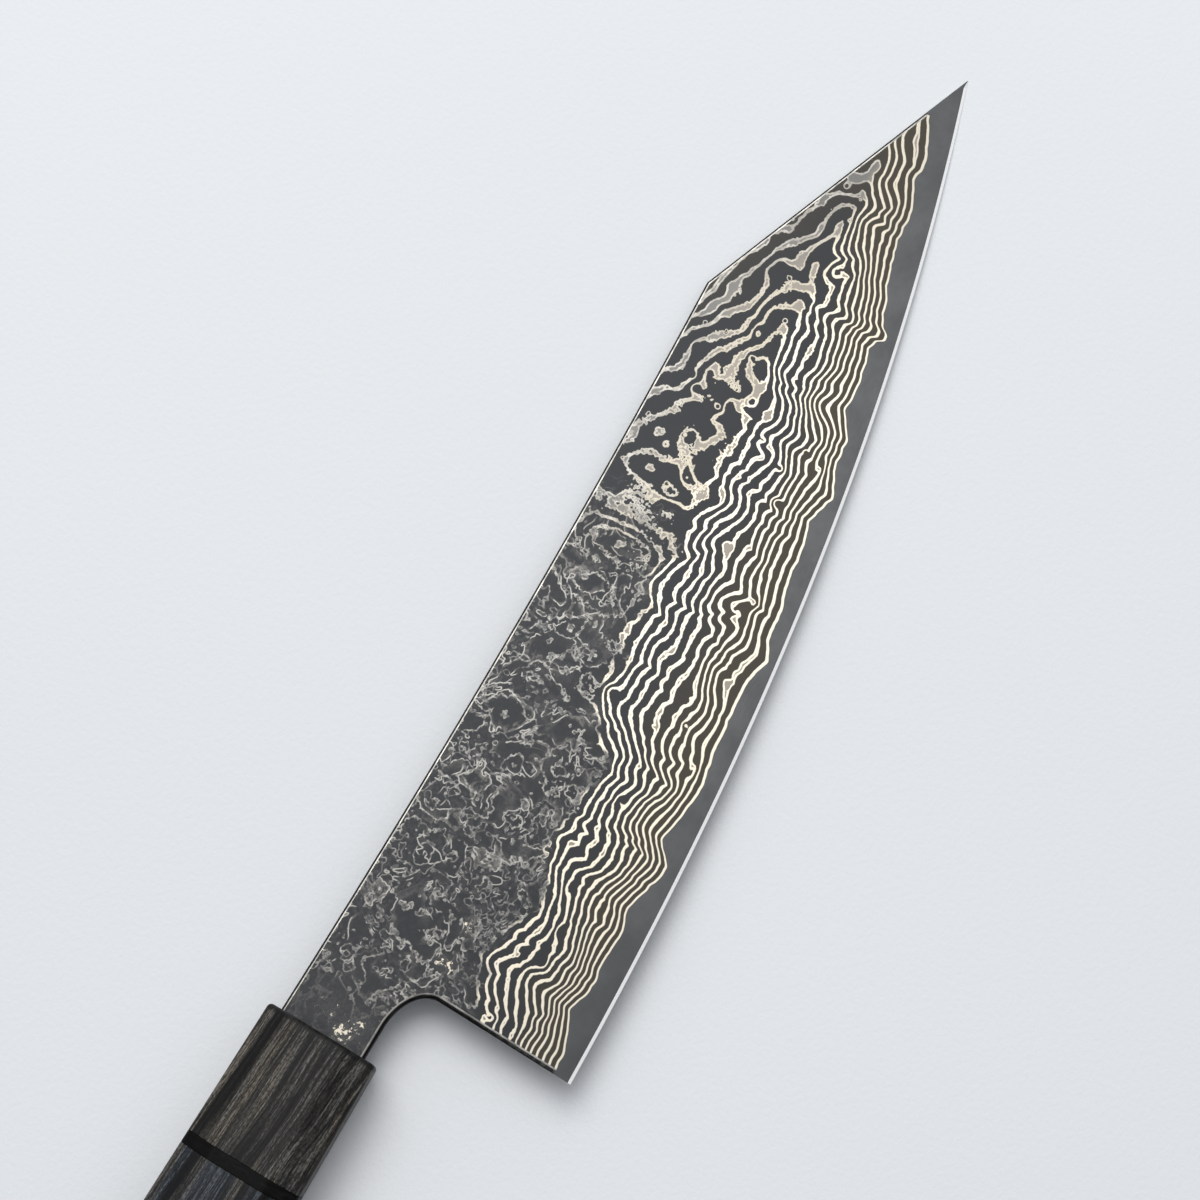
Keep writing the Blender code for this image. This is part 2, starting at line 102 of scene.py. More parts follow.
def spine_y(x):
    t = x / CORNER_X
    return NECK_ABOVE + SPINE_RISE * t - 4 * SPINE_HOLLOW * t * (1 - t)


def upper_y(x):
    """The spine, and past its corner the clipped tip."""
    clip = mixed(CORNER_Y, -TIP_DEPTH, (x - CORNER_X) / (TIP_X - CORNER_X))
    return np.where(x < CORNER_X, spine_y(x), clip)


def blade_half(x, y):
    """Half the thickness of the ground blade: flat at the neck, a slightly bulging wedge elsewhere."""
    spine = mixed(NECK_THICKNESS, FRONT_THICKNESS, np.clip(x / TIP_X, 0, 1)) / 2
    low = edge_y(np.maximum(x, HEEL_X))
    up = np.clip((y - low) / (spine_y(x) - low), 0, 1)
    wedge = mixed(EDGE_THICKNESS / 2, spine, up**GRIND_CURVE)
    away = np.hypot(np.maximum(x, 0), np.maximum(-NECK_BELOW - y, 0)) / NECK_BLEND
    return mixed(spine, wedge, eased_step(0, 1, away))


def lattice(i, j, seed):
    """A whole number that looks random, and is always the same for the same place and seed."""
    n = (i * 374761393 + j * 668265263 + seed * 2147483629) & 0xFFFFFFFF
    n = ((n ^ (n >> 13)) * 1274126177) & 0xFFFFFFFF
    return (n ^ (n >> 16)) & 0xFFFFFFFF


def swell(x, y, seed):
    """Smooth hills and hollows, about one in each unit of length."""
    i, j = np.floor(x).astype(np.int64), np.floor(y).astype(np.int64)
    fx, fy = x - i, y - j
    ux, uy = (f**3 * (f * (f * 6 - 15) + 10) for f in (fx, fy))

    def corner(di, dj):
        turn = lattice(i + di, j + dj, seed) / 4294967296 * 2 * np.pi
        return np.cos(turn) * (fx - di) + np.sin(turn) * (fy - dj)

    return mixed(mixed(corner(0, 0), corner(1, 0), ux), mixed(corner(0, 1), corner(1, 1), ux), uy) * 1.6


# Where the soft layers end and the hard core shows: height over the edge at places along the blade. The
# line wanders because the layers were forged, and grinding cuts through them at a shallow angle.
BORDER = (
    (14.8, 3.6), (17.6, 3.5), (21, 4.3), (26, 6.5), (31, 4.8), (37, 5.2), (43, 4.6), (47, 5.9),
    (52, 4.1), (57, 2.8), (61, 6.0), (66, 4.6), (73, 3.4), (80, 4.4), (89, 4.3), (95, 3.9),
    (100, 2.3), (104, 3.5), (110, 3.3), (116, 4.5), (120, 4.0), (128, 4.9), (134, 2.3), (139, 3.9),
    (146, 3.6), (151, 5.9), (156, 4.9), (164, 5.3), (166.4, 4.6), (167.2, 2.9), (168.6, 2.7),
    (169.6, 4.1), (175, 5.1), (181, 5.9),
    (187, 6.1), (194, 4.8), (200, 6.0), (205, 4.6), (209, 5.2), (215, 6.7), (230, 7.0),
)
border_places = np.arange(0, 240, 0.1)
softening = np.hanning(13) / np.hanning(13).sum()
border_heights = np.interp(border_places, *np.array(BORDER).T)
border_heights += 0.45 * (0.3 - np.abs(swell(border_places / 3.4, 0.5 + 0 * border_places, 77)))
border_heights += 0.12 * swell(border_places / 1.5, 0.5 + 0 * border_places, 78)
border_heights = np.convolve(np.pad(border_heights, 6, mode="edge"), softening, "valid")


def border_lift(x):
    return np.interp(x, border_places, border_heights)


def border_y(x):
    return edge_y(np.maximum(x, HEEL_X)) + border_lift(x)


def core_half(x):
    """Half the core's thickness under the soft layers: a flat sheet, thinner towards the tip."""
    reach = np.maximum(x, HEEL_X)
    return np.minimum(blade_half(reach, edge_y(reach) + 2.0), 0.3)


def meeting_x(line):
    """Where a line above the edge runs out at the clipped tip."""
    low, high = CORNER_X, TIP_X
    for _ in range(50):
        middle = (low + high) / 2
        low, high = (middle, high) if line(middle) < upper_y(middle) else (low, middle)
    return low


EASE_STEPS = 1 - np.cos(np.linspace(0, math.pi / 2, 8))


def neck_outline(count):
    """The lower outline from the end of the tang round the choil: points and their inward directions."""
    points = [(x, -half) for x, half in TANG] + [(SHOULDER_X, -NECK_BELOW)]
    inward = [(0.0, 1.0)] * len(points)
    for x in np.linspace(SHOULDER_X, CHOIL_X, int(count * 0.45))[1:]:
        points.append((x, -NECK_BELOW))
        inward.append((0.0, 1.0))
    for angle in np.linspace(0, math.pi / 2, int(count * 0.55) + 1)[1:]:
        points.append((CHOIL_X + CHOIL_ALONG * math.sin(angle), CHOIL_END_Y + CHOIL_DOWN * math.cos(angle)))
        away = np.array((math.sin(angle) / CHOIL_ALONG, math.cos(angle) / CHOIL_DOWN))
        inward.append(tuple(away / np.hypot(*away)))
    return np.array(points), np.array(inward)


# The soft layers
# Two sheets of many-layered soft steel are welded to the core. Grinding cuts across their wavy layers, and
# etching darkens one steel and leaves the nickel-rich one bright, so that the layers show as a pattern.

ROWS = 124
COLUMNS = 610
NECK_COLUMNS = 76
FADE = 8.0  # length over which the columns turn from the slanted back of the heel to upright
SLANTED = 1.06  # the clipped tip slants, so there the rounding reaches a little further down
HIDDEN_GAP = 0.001  # keeps the inner face of a soft layer just off the core
MOST_ROUNDED = 0.85  # the share of a soft layer's thickness that the rounding takes at most


def swells(x, y, seed, octaves=2, gain=0.5):
    """Hills with smaller hills on them."""
    total, height, finer = 0, 1.0, 1.0
    for k in range(octaves):
        total = total + height * swell(x * finer + 7.3 * k, y * finer - 3.1 * k, seed + k)
        height *= gain
        finer *= 2.03
    return total


def dimples(x, y, seed, cell, chance, least, most):
    """Sparse round bumps and pits, one at most in each cell."""
    i0, j0 = np.floor(x / cell).astype(np.int64), np.floor(y / cell).astype(np.int64)
    total = np.zeros_like(x)
    for di in (-1, 0, 1):
        for dj in (-1, 0, 1):
            i, j = i0 + di, j0 + dj
            draw = [lattice(i, j, seed + k) / 4294967296 for k in range(4)]
            middle_x, middle_y = (i + 0.15 + 0.7 * draw[0]) * cell, (j + 0.15 + 0.7 * draw[1]) * cell
            away = np.hypot(x - middle_x, (y - middle_y) * 1.05) / mixed(least, most, draw[2])
            up = np.where(draw[2] > 0.5, 1, -1)
            total += np.where(draw[3] < chance, np.exp(-1.6 * away**2), 0) * up
    return total


def lesser(a, b, soft):
    """The lesser of two, with a rounded change from one to the other."""
    share = np.clip(0.5 + 0.5 * (b - a) / soft, 0, 1)
    return b * (1 - share) + a * share - soft * share * (1 - share)


# Where the hammer pushed the layers on the right face: along, across, half length, half height, layers
HAMMERED = (
    (163.5, -3.0, 7.0, 5.5, 0.9), (149.0, -7.0, 3.6, 3.4, 0.75), (136.8, -12.8, 1.9, 2.4, -1.1),
    (137.3, -12.8, 0.8, 1.0, 0.9), (127.8, -21.0, 1.0, 1.0, -1.1), (174.5, -8.0, 2.0, 1.7, -1.1),
    (133.5, -3.0, 3.4, 2.8, -0.8), (115.0, -5.0, 3.4, 4.8, -1.1), (105.2, 0.5, 4.4, 10.0, 2.7),
    (95.5, 0.0, 4.0, 9.5, 2.3), (80.5, -5.0, 3.6, 6.0, 1.3), (66.0, 1.0, 5.0, 6.0, 1.4),
    (36.3, 1.9, 3.3, 2.9, -2.1), (62.7, -11.5, 3.8, 2.6, -1.6), (25.0, -7.5, 3.6, 3.4, 1.1),
    (22.5, -11.5, 3.4, 3.2, -1.2), (86.5, 0.0, 2.4, 2.0, -1.4), (79.8, -7.0, 2.6, 2.6, -1.5),
    (186.5, -2.5, 3.4, 2.4, 0.7), (145.5, 3.0, 4.0, 1.6, 0.4), (108.0, -27.0, 2.6, 0.9, 0.8),
    (75.0, -33.0, 2.2, 0.8, 0.7), (138.0, -25.0, 2.4, 0.8, 0.7), (37.0, -26.7, 1.3, 1.0, -0.9),
    (44.5, -24.0, 2.2, 1.0, -0.8), (63.0, -24.0, 1.6, 1.0, -0.8), (31.0, -27.0, 1.2, 1.0, 0.8),
    (46.0, 5.0, 2.6, 2.4, 1.0), (59.0, -4.0, 2.2, 2.0, -1.4), (51.0, -9.0, 3.0, 3.0, 0.9),
    (191.5, -1.0, 1.0, 0.9, -0.8), (73.0, -12.5, 2.2, 1.6, 0.5), (127.0, 3.0, 1.3, 1.1, -0.8),
    (161.0, 14.5, 13.0, 4.6, -1.7),
    (122.0, -1.0, 2.0, 1.6, 0.4), (54.0, 0.0, 3.0, 4.0, -0.9), (80.0, -12.5, 1.8, 1.6, -1.2),
    (140.0, -3.5, 1.6, 1.3, 0.8), (126.0, -7.5, 1.6, 1.8, 0.6), (68.0, -16.0, 5.0, 3.0, 0.7),
    (146.0, -15.0, 8.0, 2.5, 0.5), (154.0, 6.5, 3.0, 1.2, 0.5), (170.0, 3.0, 5.0, 2.0, 0.35),
    (121.2, 3.2, 1.9, 1.7, 0.61), (119.0, -2.6, 1.4, 1.7, 0.89), (128.6, 5.6, 1.8, 1.4, 0.54),
    (130.6, -0.4, 1.6, 1.4, 0.52), (136.2, -2.6, 1.9, 1.6, 0.39), (139.6, 3.8, 1.2, 1.0, 0.72),
    (113.4, 3.4, 1.6, 1.6, 0.75), (155.6, -1.0, 1.3, 1.0, 0.77), (166.6, -6.8, 1.1, 1.0, 0.62),
    (172.8, -4.0, 2.0, 1.3, 0.26), (147.0, 8.0, 1.2, 0.9, 0.60), (142.8, -7.0, 1.4, 1.3, 0.80),
    (150.6, -2.6, 0.8, 0.8, 0.77),
)
HAMMERED_LEFT = (
    (158.0, -1.0, 7.0, 4.0, 0.9), (141.0, -9.0, 3.0, 3.6, -0.8), (128.0, 2.0, 4.0, 5.0, 1.8),
    (112.0, -3.0, 4.4, 8.0, 2.2), (97.0, -6.0, 3.0, 5.0, -0.9), (84.0, 1.0, 5.0, 6.0, 1.4),
    (70.0, -9.0, 3.0, 3.0, -1.0), (52.0, -3.0, 4.0, 5.0, 1.1), (31.0, -6.0, 4.0, 4.0, -1.0),
    (176.0, -5.0, 2.4, 2.0, -0.9), (150.0, -17.0, 1.4, 1.4, -1.0), (60.0, -24.0, 1.6, 1.4, 1.0),
)

# Where the etch left a pale haze: along, across, half length, half height, strength
HAZED = (
    (2.0, -2.4, 1.7, 1.9, 1.0), (4.0, -5.0, 3.4, 2.6, 0.55), (21.5, -12.5, 1.6, 3.4, 0.8),
    (29.0, -12.0, 2.4, 1.4, 0.7), (63.0, -9.0, 3.6, 1.8, 0.5), (74.5, -11.5, 2.6, 1.8, 0.9),
    (70.5, -3.5, 2.2, 2.0, 0.6), (78.0, -1.5, 1.5, 4.5, 0.6), (84.5, -3.0, 1.8, 4.0, 0.5),
    (90.5, -3.0, 3.4, 4.4, 0.6), (100.0, -7.5, 3.0, 2.6, 0.6), (12.5, 2.0, 2.6, 3.0, 0.3),
    (33.0, -17.0, 3.0, 1.0, 0.4), (50.0, -16.5, 5.0, 1.0, 0.5), (13.0, 8.0, 1.0, 2.4, 0.6),
    (5.0, 2.0, 4.0, 5.0, 0.45),
)
HAZED_LEFT = (
    (8.0, -3.0, 3.0, 2.4, 0.6), (30.0, 2.0, 2.0, 4.0, 0.7), (52.0, -8.0, 4.0, 1.6, 0.6),
    (76.0, -2.0, 2.4, 4.0, 0.7), (94.0, 4.0, 3.0, 3.0, 0.5),
)


def spread(x, y, marks):
    """How strongly each mark acts at a place: 1 in its middle, fading outwards."""
    for along, across, half_length, half_height, strength in marks:
        away = ((x - along) / half_length) ** 2 + ((y - across) / half_height) ** 2
        yield away, half_length, strength


def layer_depth(x, y, seed, hammered):
    """How many layers down the ground face has cut at a place, how far that place is in the top ones, how
    far towards the handle, and how still the layers lie there."""
    height = y - edge_y(np.maximum(x, HEEL_X))
    lift = border_lift(x)
    above = height - lift
    level = height - (4.5 + (lift - 4.5) * np.exp(-np.maximum(above, 0) / 13))
    swollen = 0.42 * eased_step(58, 84, x) * (1 - eased_step(110, 138, x))
    thickness = 1.2 + swollen + 0.2 * eased_step(150, 195, x) + 0.45 * eased_step(188, 206, x)
    widening = 0.035
    lined = np.log(1 + widening * np.maximum(level, 0) / thickness) / widening
    lined = np.where(level > 0, lined, level / thickness)
    off = eased_step(0.2, 6, level)
    roll = 1.35 * swell(x / 10.5, y / 12, seed) + 0.35 * swell(x / 5.2 + 3, y / 7, seed + 1)
    kink = 1.1 * (0.30 - np.abs(swell(x / 6.5 + 0.5 * swell(x / 9, y / 9, 5), y / 12, seed + 9)))
    ripple = 0.07 + 0.07 * eased_step(2, 8, lined) - 0.03 * eased_step(120, 150, x)
    ripple = ripple * swells(x / 2.1, y / 2.5, seed + 12)
    few = 0.25 + 0.75 * eased_step(0.15, 0.5, swell(x / 14, y / 6, seed + 33))
    curls = 0.8 * few * dimples(x, y, seed + 40, 6.5, 0.4, 0.6, 1.2)
    lined = lined + off * (roll + kink + ripple + curls)
    front = 7.6 + (181 - x) * 0.118 - (y + 3) * 0.235
    rear = 1 - eased_step(96, 120, x)
    middle = eased_step(60, 85, x) * (1 - eased_step(108, 135, x))
    still = 1.0
    for away, half_length, layers in spread(x, y, hammered):
        if half_length > 1.9 and abs(layers) > 1:
            still = still * (1 - 0.8 * np.exp(-0.6 * away))
    slow = swells(x / (12 - 4 * middle), y / (11 + 4 * middle), seed + 20, 2, 0.35)
    quick = swell(x / (4.2 - 0.6 * middle), y / (4.4 + middle), seed + 30)
    top = lesser(12.4 + 0 * x, front, 1.4)
    top = top + still * ((0.75 + 0.15 * rear) * slow + (0.24 + 0.44 * rear) * quick)
    top = top + (0.10 + 0.12 * rear) * swell(x / 1.9, y / 1.9, seed + 35)
    top = top - 0.9 * (1 - rear) * np.abs(dimples(x, y, seed + 50, 8.0, 0.30, 0.5, 1.0))
    for away, _, layers in spread(x, y, hammered):
        push = layers * np.exp(-1.2 * away)
        lined = lined + push
        top = top + push
    upper = eased_step(-1.2, 0.8, lined - top)
    return lesser(lined, top, 0.9), upper, rear, still


def cladding_plan():
    """The outline and the inside of a soft layer, drawn flat: points, quads, and the ring round them."""
    outline, inward = neck_outline(NECK_COLUMNS)
    neck_low = outline + inward * LOW_EASE
    seam = neck_low[-1]
    end_x = meeting_x(border_y) - 1.0
    nominal = np.linspace(seam[0], end_x, COLUMNS)
    fade = np.clip(1 - (nominal - seam[0]) / FADE, 0, 1)[:, None]
    top_gap = TOP_EASE * np.where(nominal < CORNER_X, 1.0, SLANTED)[:, None]
    seam_top, seam_low = upper_y(seam[0]) - TOP_EASE, border_y(seam[0])
    share_at_seam = (seam[1] - seam_low) / (seam_top - seam_low)
    seam_row = int(round(share_at_seam * ROWS))
    shares = np.concatenate([
        np.linspace(0, share_at_seam, seam_row + 1),
        np.linspace(share_at_seam, 1, ROWS - seam_row + 1)[1:],
    ])
    x = np.repeat(nominal[:, None], len(shares), axis=1)
    for _ in range(3):
        y = border_y(x) + shares * (upper_y(x) - top_gap - border_y(x))
        lean = HEEL_LEAN * np.clip((y - CHOIL_END_Y) / (HEEL_DEPTH + CHOIL_END_Y), -1, 0)
        x = nominal[:, None] + lean * fade
    y = border_y(x) + shares * (upper_y(x) - top_gap - border_y(x))
    x[0, seam_row:] = seam[0]
    y[0, seam_row] = seam[1]
    points = [np.stack([x, y], axis=2).reshape(-1, 2)]
    body = np.arange(x.size).reshape(x.shape)
    neck_shares = (shares[seam_row:] - shares[seam_row]) / (1 - shares[seam_row])
    tops = [half - TOP_EASE for _, half in TANG]
    tops += [NECK_ABOVE - TOP_EASE]
    tops += list(upper_y(neck_low[len(tops):-1, 0]) - TOP_EASE)
    neck = []
    count = x.size
    for low, top in zip(neck_low[:-1], tops):
        column = low[1] + neck_shares * (top - low[1])
        points.append(np.stack([np.full_like(column, low[0]), column], axis=1))
        neck.append(np.arange(count, count + len(column)))
        count += len(column)
    neck = np.array(neck + [body[0, seam_row:]])

    def ribbon(line, directions, width, inner):
        """Rows of points from the outline in to a line of points that is there already."""
        nonlocal count
        rows = []
        for away in EASE_STEPS[:-1]:
            points.append(line + directions * away * width)
            rows.append(np.arange(count, count + len(line)))
            count += len(line)
        return np.array(rows + [inner])

    back = np.stack([x[0, :seam_row][::-1] - LOW_EASE, y[0, :seam_row][::-1]], axis=1)
    low_line = np.concatenate([outline, back])
    low_inward = np.concatenate([inward, np.tile((1.0, 0.0), (len(back), 1))])
    low_inner = np.concatenate([neck[:, 0], body[0, :seam_row][::-1]])
    low_ribbon = ribbon(low_line, low_inward, LOW_EASE, low_inner)
    top_inner = np.concatenate([neck[:, -1], body[1:, -1]])
    placed = np.concatenate(points)
    top_x = placed[top_inner, 0]
    top_line = np.stack([top_x, placed[top_inner, 1] + TOP_EASE], axis=1)
    clipped = top_x >= CORNER_X
    top_line[clipped, 1] = upper_y(top_x[clipped])
    top_ribbon = ribbon(top_line, (placed[top_inner] - top_line) / TOP_EASE, TOP_EASE, top_inner)
    flat = np.concatenate(points)
    faces = []
    for grid in (body, neck, low_ribbon, top_ribbon):
        quads = np.stack([grid[:-1, :-1], grid[1:, :-1], grid[1:, 1:], grid[:-1, 1:]], axis=-1)
        faces.append(quads.reshape(-1, 4))
    level_faces = len(faces[0]) + len(faces[1])
    faces = np.concatenate(faces)
    corners = flat[faces]
    spans = np.roll(corners, -1, axis=1)
    area = (corners[..., 0] * spans[..., 1] - corners[..., 1] * spans[..., 0]).sum(axis=1)
    faces[area < 0] = faces[area < 0][:, ::-1]
    ring = np.concatenate([
        low_ribbon[0], low_ribbon[1:, -1], body[1:, 0], body[-1, 1:],
        top_ribbon[-2::-1, -1], top_ribbon[0, -2::-1], top_ribbon[1:, 0],
        neck[0, -2::-1], low_ribbon[-2:0:-1, 0],
    ])
    inwards = np.ones(len(flat))
    width = np.full(len(flat), LOW_EASE)
    width[top_ribbon] = TOP_EASE
    for grid in (low_ribbon, top_ribbon):
        for away, row in zip(EASE_STEPS, grid):
            inwards[row] = np.minimum(inwards[row], away)
    return flat, faces, level_faces, ring, inwards, width


def skin(name, points, faces, finishes, sharp=30):
    """A smooth mesh object from points in millimetres, sharp where faces meet at more than this angle."""
    mesh = bpy.data.meshes.new(name)
    mesh.from_pydata(np.asarray(points, float), [], [list(map(int, face)) for face in faces])
    for finish in finishes:
        mesh.materials.append(finish)
    mesh.shade_smooth()
    mesh.set_sharp_from_angle(angle=math.radians(sharp))
    piece = bpy.data.objects.new(name, mesh)
    bpy.context.scene.collection.objects.link(piece)
    return piece


def note(piece, label, values):
    """Stores three numbers at each point of the piece, under a label that its finish reads."""
    stored = piece.data.attributes.new(label, "FLOAT_VECTOR", "POINT")
    stored.data.foreach_set("vector", np.asarray(values, np.float32).ravel())


def own_points(piece):
    flat = np.empty(len(piece.data.vertices) * 3, np.float32)
    piece.data.vertices.foreach_get("co", flat)
    return flat.reshape(-1, 3)


def lay_down(piece, slot, *nodes):
    """Notes each point's place on the knife, lays the piece down and hides the CAD nodes it stands for. The
    slot is not used.
    """
    note(piece, "place", own_points(piece))
    piece.data.transform(laid)
    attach(piece, "root")
    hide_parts(*nodes)


def cladding_skin(name, side, seed, hammered, hazed, finishes):
    flat, faces, level_faces, ring, inwards, width = cladding_plan()
    x, y = flat.T
    outer = blade_half(x, y)
    inner = core_half(x) + HIDDEN_GAP
    drop = np.minimum(MOST_ROUNDED * (outer - inner), width) * (1 - np.sqrt(1 - (1 - inwards) ** 2))
    height = np.maximum(outer - drop, inner + HIDDEN_GAP)
    count = len(flat)
    under = np.arange(len(ring)) + count
    points = np.concatenate([
        np.stack([x, y, side * height], axis=1),
        np.stack([x[ring], y[ring], side * inner[ring]], axis=1),
    ])
    walls = np.stack([ring, under, np.roll(under, -1), np.roll(ring, -1)], axis=1)
    inside = under_faces(flat[ring])
    inside = [[under[k] for k in face][::-1] for face in inside]
    everything = [list(face) for face in faces] + [list(face) for face in walls] + inside
    if side < 0:
        everything = [face[::-1] for face in everything]
    piece = skin(name, points, everything, finishes, 40)
    kinds = np.zeros(len(everything), np.int32)
    kinds[level_faces:len(faces) + len(walls)] = 1
    piece.data.polygons.foreach_set("material_index", kinds)
    x, y = points[:, 0], points[:, 1]
    layers, upper, rear, still = layer_depth(x, y, seed, hammered)
    nudge = 0.04
    along = layer_depth(x + nudge, y, seed, hammered)[0]
    across = layer_depth(x, y + nudge, seed, hammered)[0]
    haze = sum(strength * np.exp(-1.2 * away) for away, _, strength in spread(x, y, hazed))
    lively = np.sqrt(still) * (0.15 + 0.85 * eased_step(4, 16, x))
    spray = upper * eased_step(84, 96, x) * (1 - eased_step(122, 140, x))
    spray = spray * (0.3 + 0.7 * eased_step(3, 9, upper_y(x) - y))
    # Where the painted highlight line begins on each rounding, as a share of the way in from the outline.
    starts = np.where(width == TOP_EASE, 0.58, 0.70)
    inwards, starts = np.concatenate([inwards, 0 * ring]), np.concatenate([starts, starts[ring]])
    note(piece, "layers", np.stack([layers, (along - layers) / nudge, (across - layers) / nudge], axis=1))
    note(piece, "mood", np.stack([upper, rear, upper_y(x) - y], axis=1))
    note(piece, "marks", np.stack([np.minimum(haze, 1), lively, spray], axis=1))
    note(piece, "ease", np.stack([inwards, starts, 0 * inwards], axis=1))
    strips(piece, len(faces))
    return piece


def under_faces(ring):
    """Triangles that fill the ring, for the hidden face on the core."""
    return tessellate_polygon([[Vector((x, y, 0)) for x, y in ring]])


def strips(piece, outer_faces):
    """Lays the face of the blade out as two strips, so that its fine pattern keeps its sharpness."""
    mesh = piece.data
    points = own_points(piece)
    sheet = mesh.uv_layers.new(name="OFBake")
    corners = np.empty(len(mesh.loops), np.int32)
    mesh.loops.foreach_get("vertex_index", corners)
    totals = np.empty(len(mesh.polygons), np.int32)
    mesh.polygons.foreach_get("loop_total", totals)
    owner = np.repeat(np.arange(len(totals)), totals)
    middle = np.bincount(owner, points[corners, 0]) / totals
    x, y, z = points[corners].T
    cut, left, low_first, low_second = 110.0, -4.5, -39.0, -37.0
    length, second_up, overlap, margin = 116.0, 50.5, 0.6, 0.004
    rear = (middle < cut)[owner]
    across = np.where(rear, x - left, x - cut + overlap) / length + margin
    up = np.where(rear, y - low_first, y - low_second + second_up) / length + margin
    outer = np.arange(len(totals)) < outer_faces
    tang = ((middle < left) & outer)[owner]
    across = np.where(tang, (x + 93) / 200 + margin, across)
    up = np.where(tang, 0.93 + (y + 5) / 400, up)
    across = np.where(outer[owner], across, (x + 93) / 330 + 0.01)
    up = np.where(outer[owner], up, 0.965 + (y + 43) / 2000 + 0.003 * np.abs(z))
    sheet.data.foreach_set("uv", np.stack([across, up], axis=1).astype(np.float32).ravel())


# Finish of the layered steel
# Etching leaves the nickel-rich layers bright and a little proud, and turns the others dark grey. Near the
# handle the layers lie almost level with the face, so their cuts are small, fine and grey.


class Amount:
    """A number, a place or a colour that a finish works out at each point of a surface."""

    def __init__(self, finish, socket):
        self.finish = finish
        self.socket = socket
        self.node = finish.node

    def reckon(self, operation, *others):
        return self.node("Math", dict(enumerate((self, *others))), operation=operation)

    def __add__(self, other):
        return self.reckon("ADD", other)

    def __sub__(self, other):
        return self.reckon("SUBTRACT", other)

    def __mul__(self, other):
        return self.reckon("MULTIPLY", other)

    def __truediv__(self, other):
        return self.reckon("DIVIDE", other)

    def __abs__(self):
        return self.reckon("ABSOLUTE")

    def or_more(self, other):
        return self.reckon("MAXIMUM", other)

    def step(self, low, high, start=0.0, end=1.0):
        """From start where the amount is low to end where it is high, with soft ends."""
        ends = dict(enumerate((self, low, high, start, end)))
        return self.node("MapRange", ends, interpolation_type="SMOOTHSTEP")

    def spot(self, stretch=(1, 1, 1), shift=(0, 0, 0), turn=(0, 0, 0)):
        """The place shifted, turned and stretched, for a pattern to be read at."""
        turn = tuple(math.radians(angle) for angle in turn)
        placed = {"Vector": self, "Location": shift, "Rotation": turn, "Scale": stretch}
        return self.node("Mapping", placed)

    def clouds(self, size, detail=2.0, harshness=0.5, swirl=0.0):
        """Cloudy variation with blotches of about this size, mostly between 0.25 and 0.75."""
        return self.node("TexNoise", {
            "Vector": self, "Scale": 1 / size, "Detail": detail, "Roughness": harshness,
            "Distortion": swirl,
        })

    def cells(self, size):
        """The distance to the nearest of scattered points, about this far apart."""
        return self.node("TexVoronoi", {"Vector": self, "Scale": 1 / size}, "Distance")

    def tint(self, first, second):
        """From the first colour where the amount is 0 to the second where it is 1."""
        return self.node("Mix", {0: self, 6: first, 7: second}, 2, data_type="RGBA")

    def relief(self, depth, under=None):
        """Bumps of this depth in millimetres, on top of coarser ones."""
        return self.node("Bump", {"Strength": 1.0, "Distance": depth * MM, "Height": self, "Normal": under})


class Finish:
    """A surface finish, worked out from the place on the knife and from what is noted on the piece."""

    def __init__(self, name, **plain):
        self.surface = bpy.data.materials.new(name)
        self.surface.use_nodes = True
        self.tree = self.surface.node_tree
        self.shader = self.tree.nodes["Principled BSDF"]
        self.notes = {}
        self.done(**plain)

    def node(self, kind, inputs, output=0, **settings):
        """What comes out of a node of this kind, with these settings and inputs."""
        made = self.tree.nodes.new("ShaderNode" + kind)
        for name, value in settings.items():
            setattr(made, name, value)
        for key, value in inputs.items():
            self.join(value, made.inputs[key])
        return Amount(self, made.outputs[output])

    def join(self, value, socket):
        if isinstance(value, Amount):
            self.tree.links.new(value.socket, socket)
        elif value is not None:
            socket.default_value = value

    def noted(self, label, axis=None):
        """What is noted on the piece under this label: three numbers, or the one along an axis."""
        if label not in self.notes:
            whole = self.node("Attribute", {}, "Vector", attribute_name=label)
            split = self.node("SeparateXYZ", {0: whole}).socket.node
            self.notes[label] = whole, [Amount(self, part) for part in split.outputs]
        whole, parts = self.notes[label]
        return whole if axis is None else parts["XYZ".index(axis)]

    def done(self, **given):
        """Gives the shader what it needs, each under its socket's name, and returns the finish."""
        for name, value in given.items():
            self.join(value, self.shader.inputs[name.replace("_", " ")])
        return self.surface


def paint(red, green, blue):
    """A colour given as it shows on a screen, from 0 to 255, as light."""
    light = []
    for part in (red, green, blue):
        part /= 255
        light.append(part / 12.92 if part <= 0.04045 else ((part + 0.055) / 1.055) ** 2.4)
    return (*light, 1.0)


CREAM, CREAM_TIP, CREAM_UPPER = paint(202, 195, 179), paint(178, 172, 158), paint(158, 152, 139)
TAUPE = paint(122, 117, 110)
PALE_GREY, DULL_GREY, FINE_GREY = paint(152, 150, 145), paint(122, 120, 116), paint(94, 94, 94)
GREY_FILL, HAZE = paint(92, 92, 91), paint(106, 105, 103)
DARK_UPPER, DARK_LOWER, DARK_BUSY = paint(55, 56, 58), paint(66, 63, 57), paint(68, 68, 69)

layered = Finish("layered_steel", Metallic=1.0)
place, along = layered.noted("place"), layered.noted("place", "X")
layers = layered.noted("layers", "X")
upper, rear, from_spine = (layered.noted("mood", axis) for axis in "XYZ")
haze, lively, spray = (layered.noted("marks", axis) for axis in "XYZ")
quiet = rear * upper
folded = upper - quiet

NUDGE = 0.05  # how far off a second look is taken, for how steeply a height changes
NUDGES = ((NUDGE, 0, 0), (0, NUDGE, 0))
BAND = 0.165  # half of a bright layer's thickness, in layers


def outlines(shift):
    """Broad hills whose contours are the bigger outlines near the handle."""
    return place.spot(shift=shift).clouds(8.0, 3.0, 0.5, 0.5)


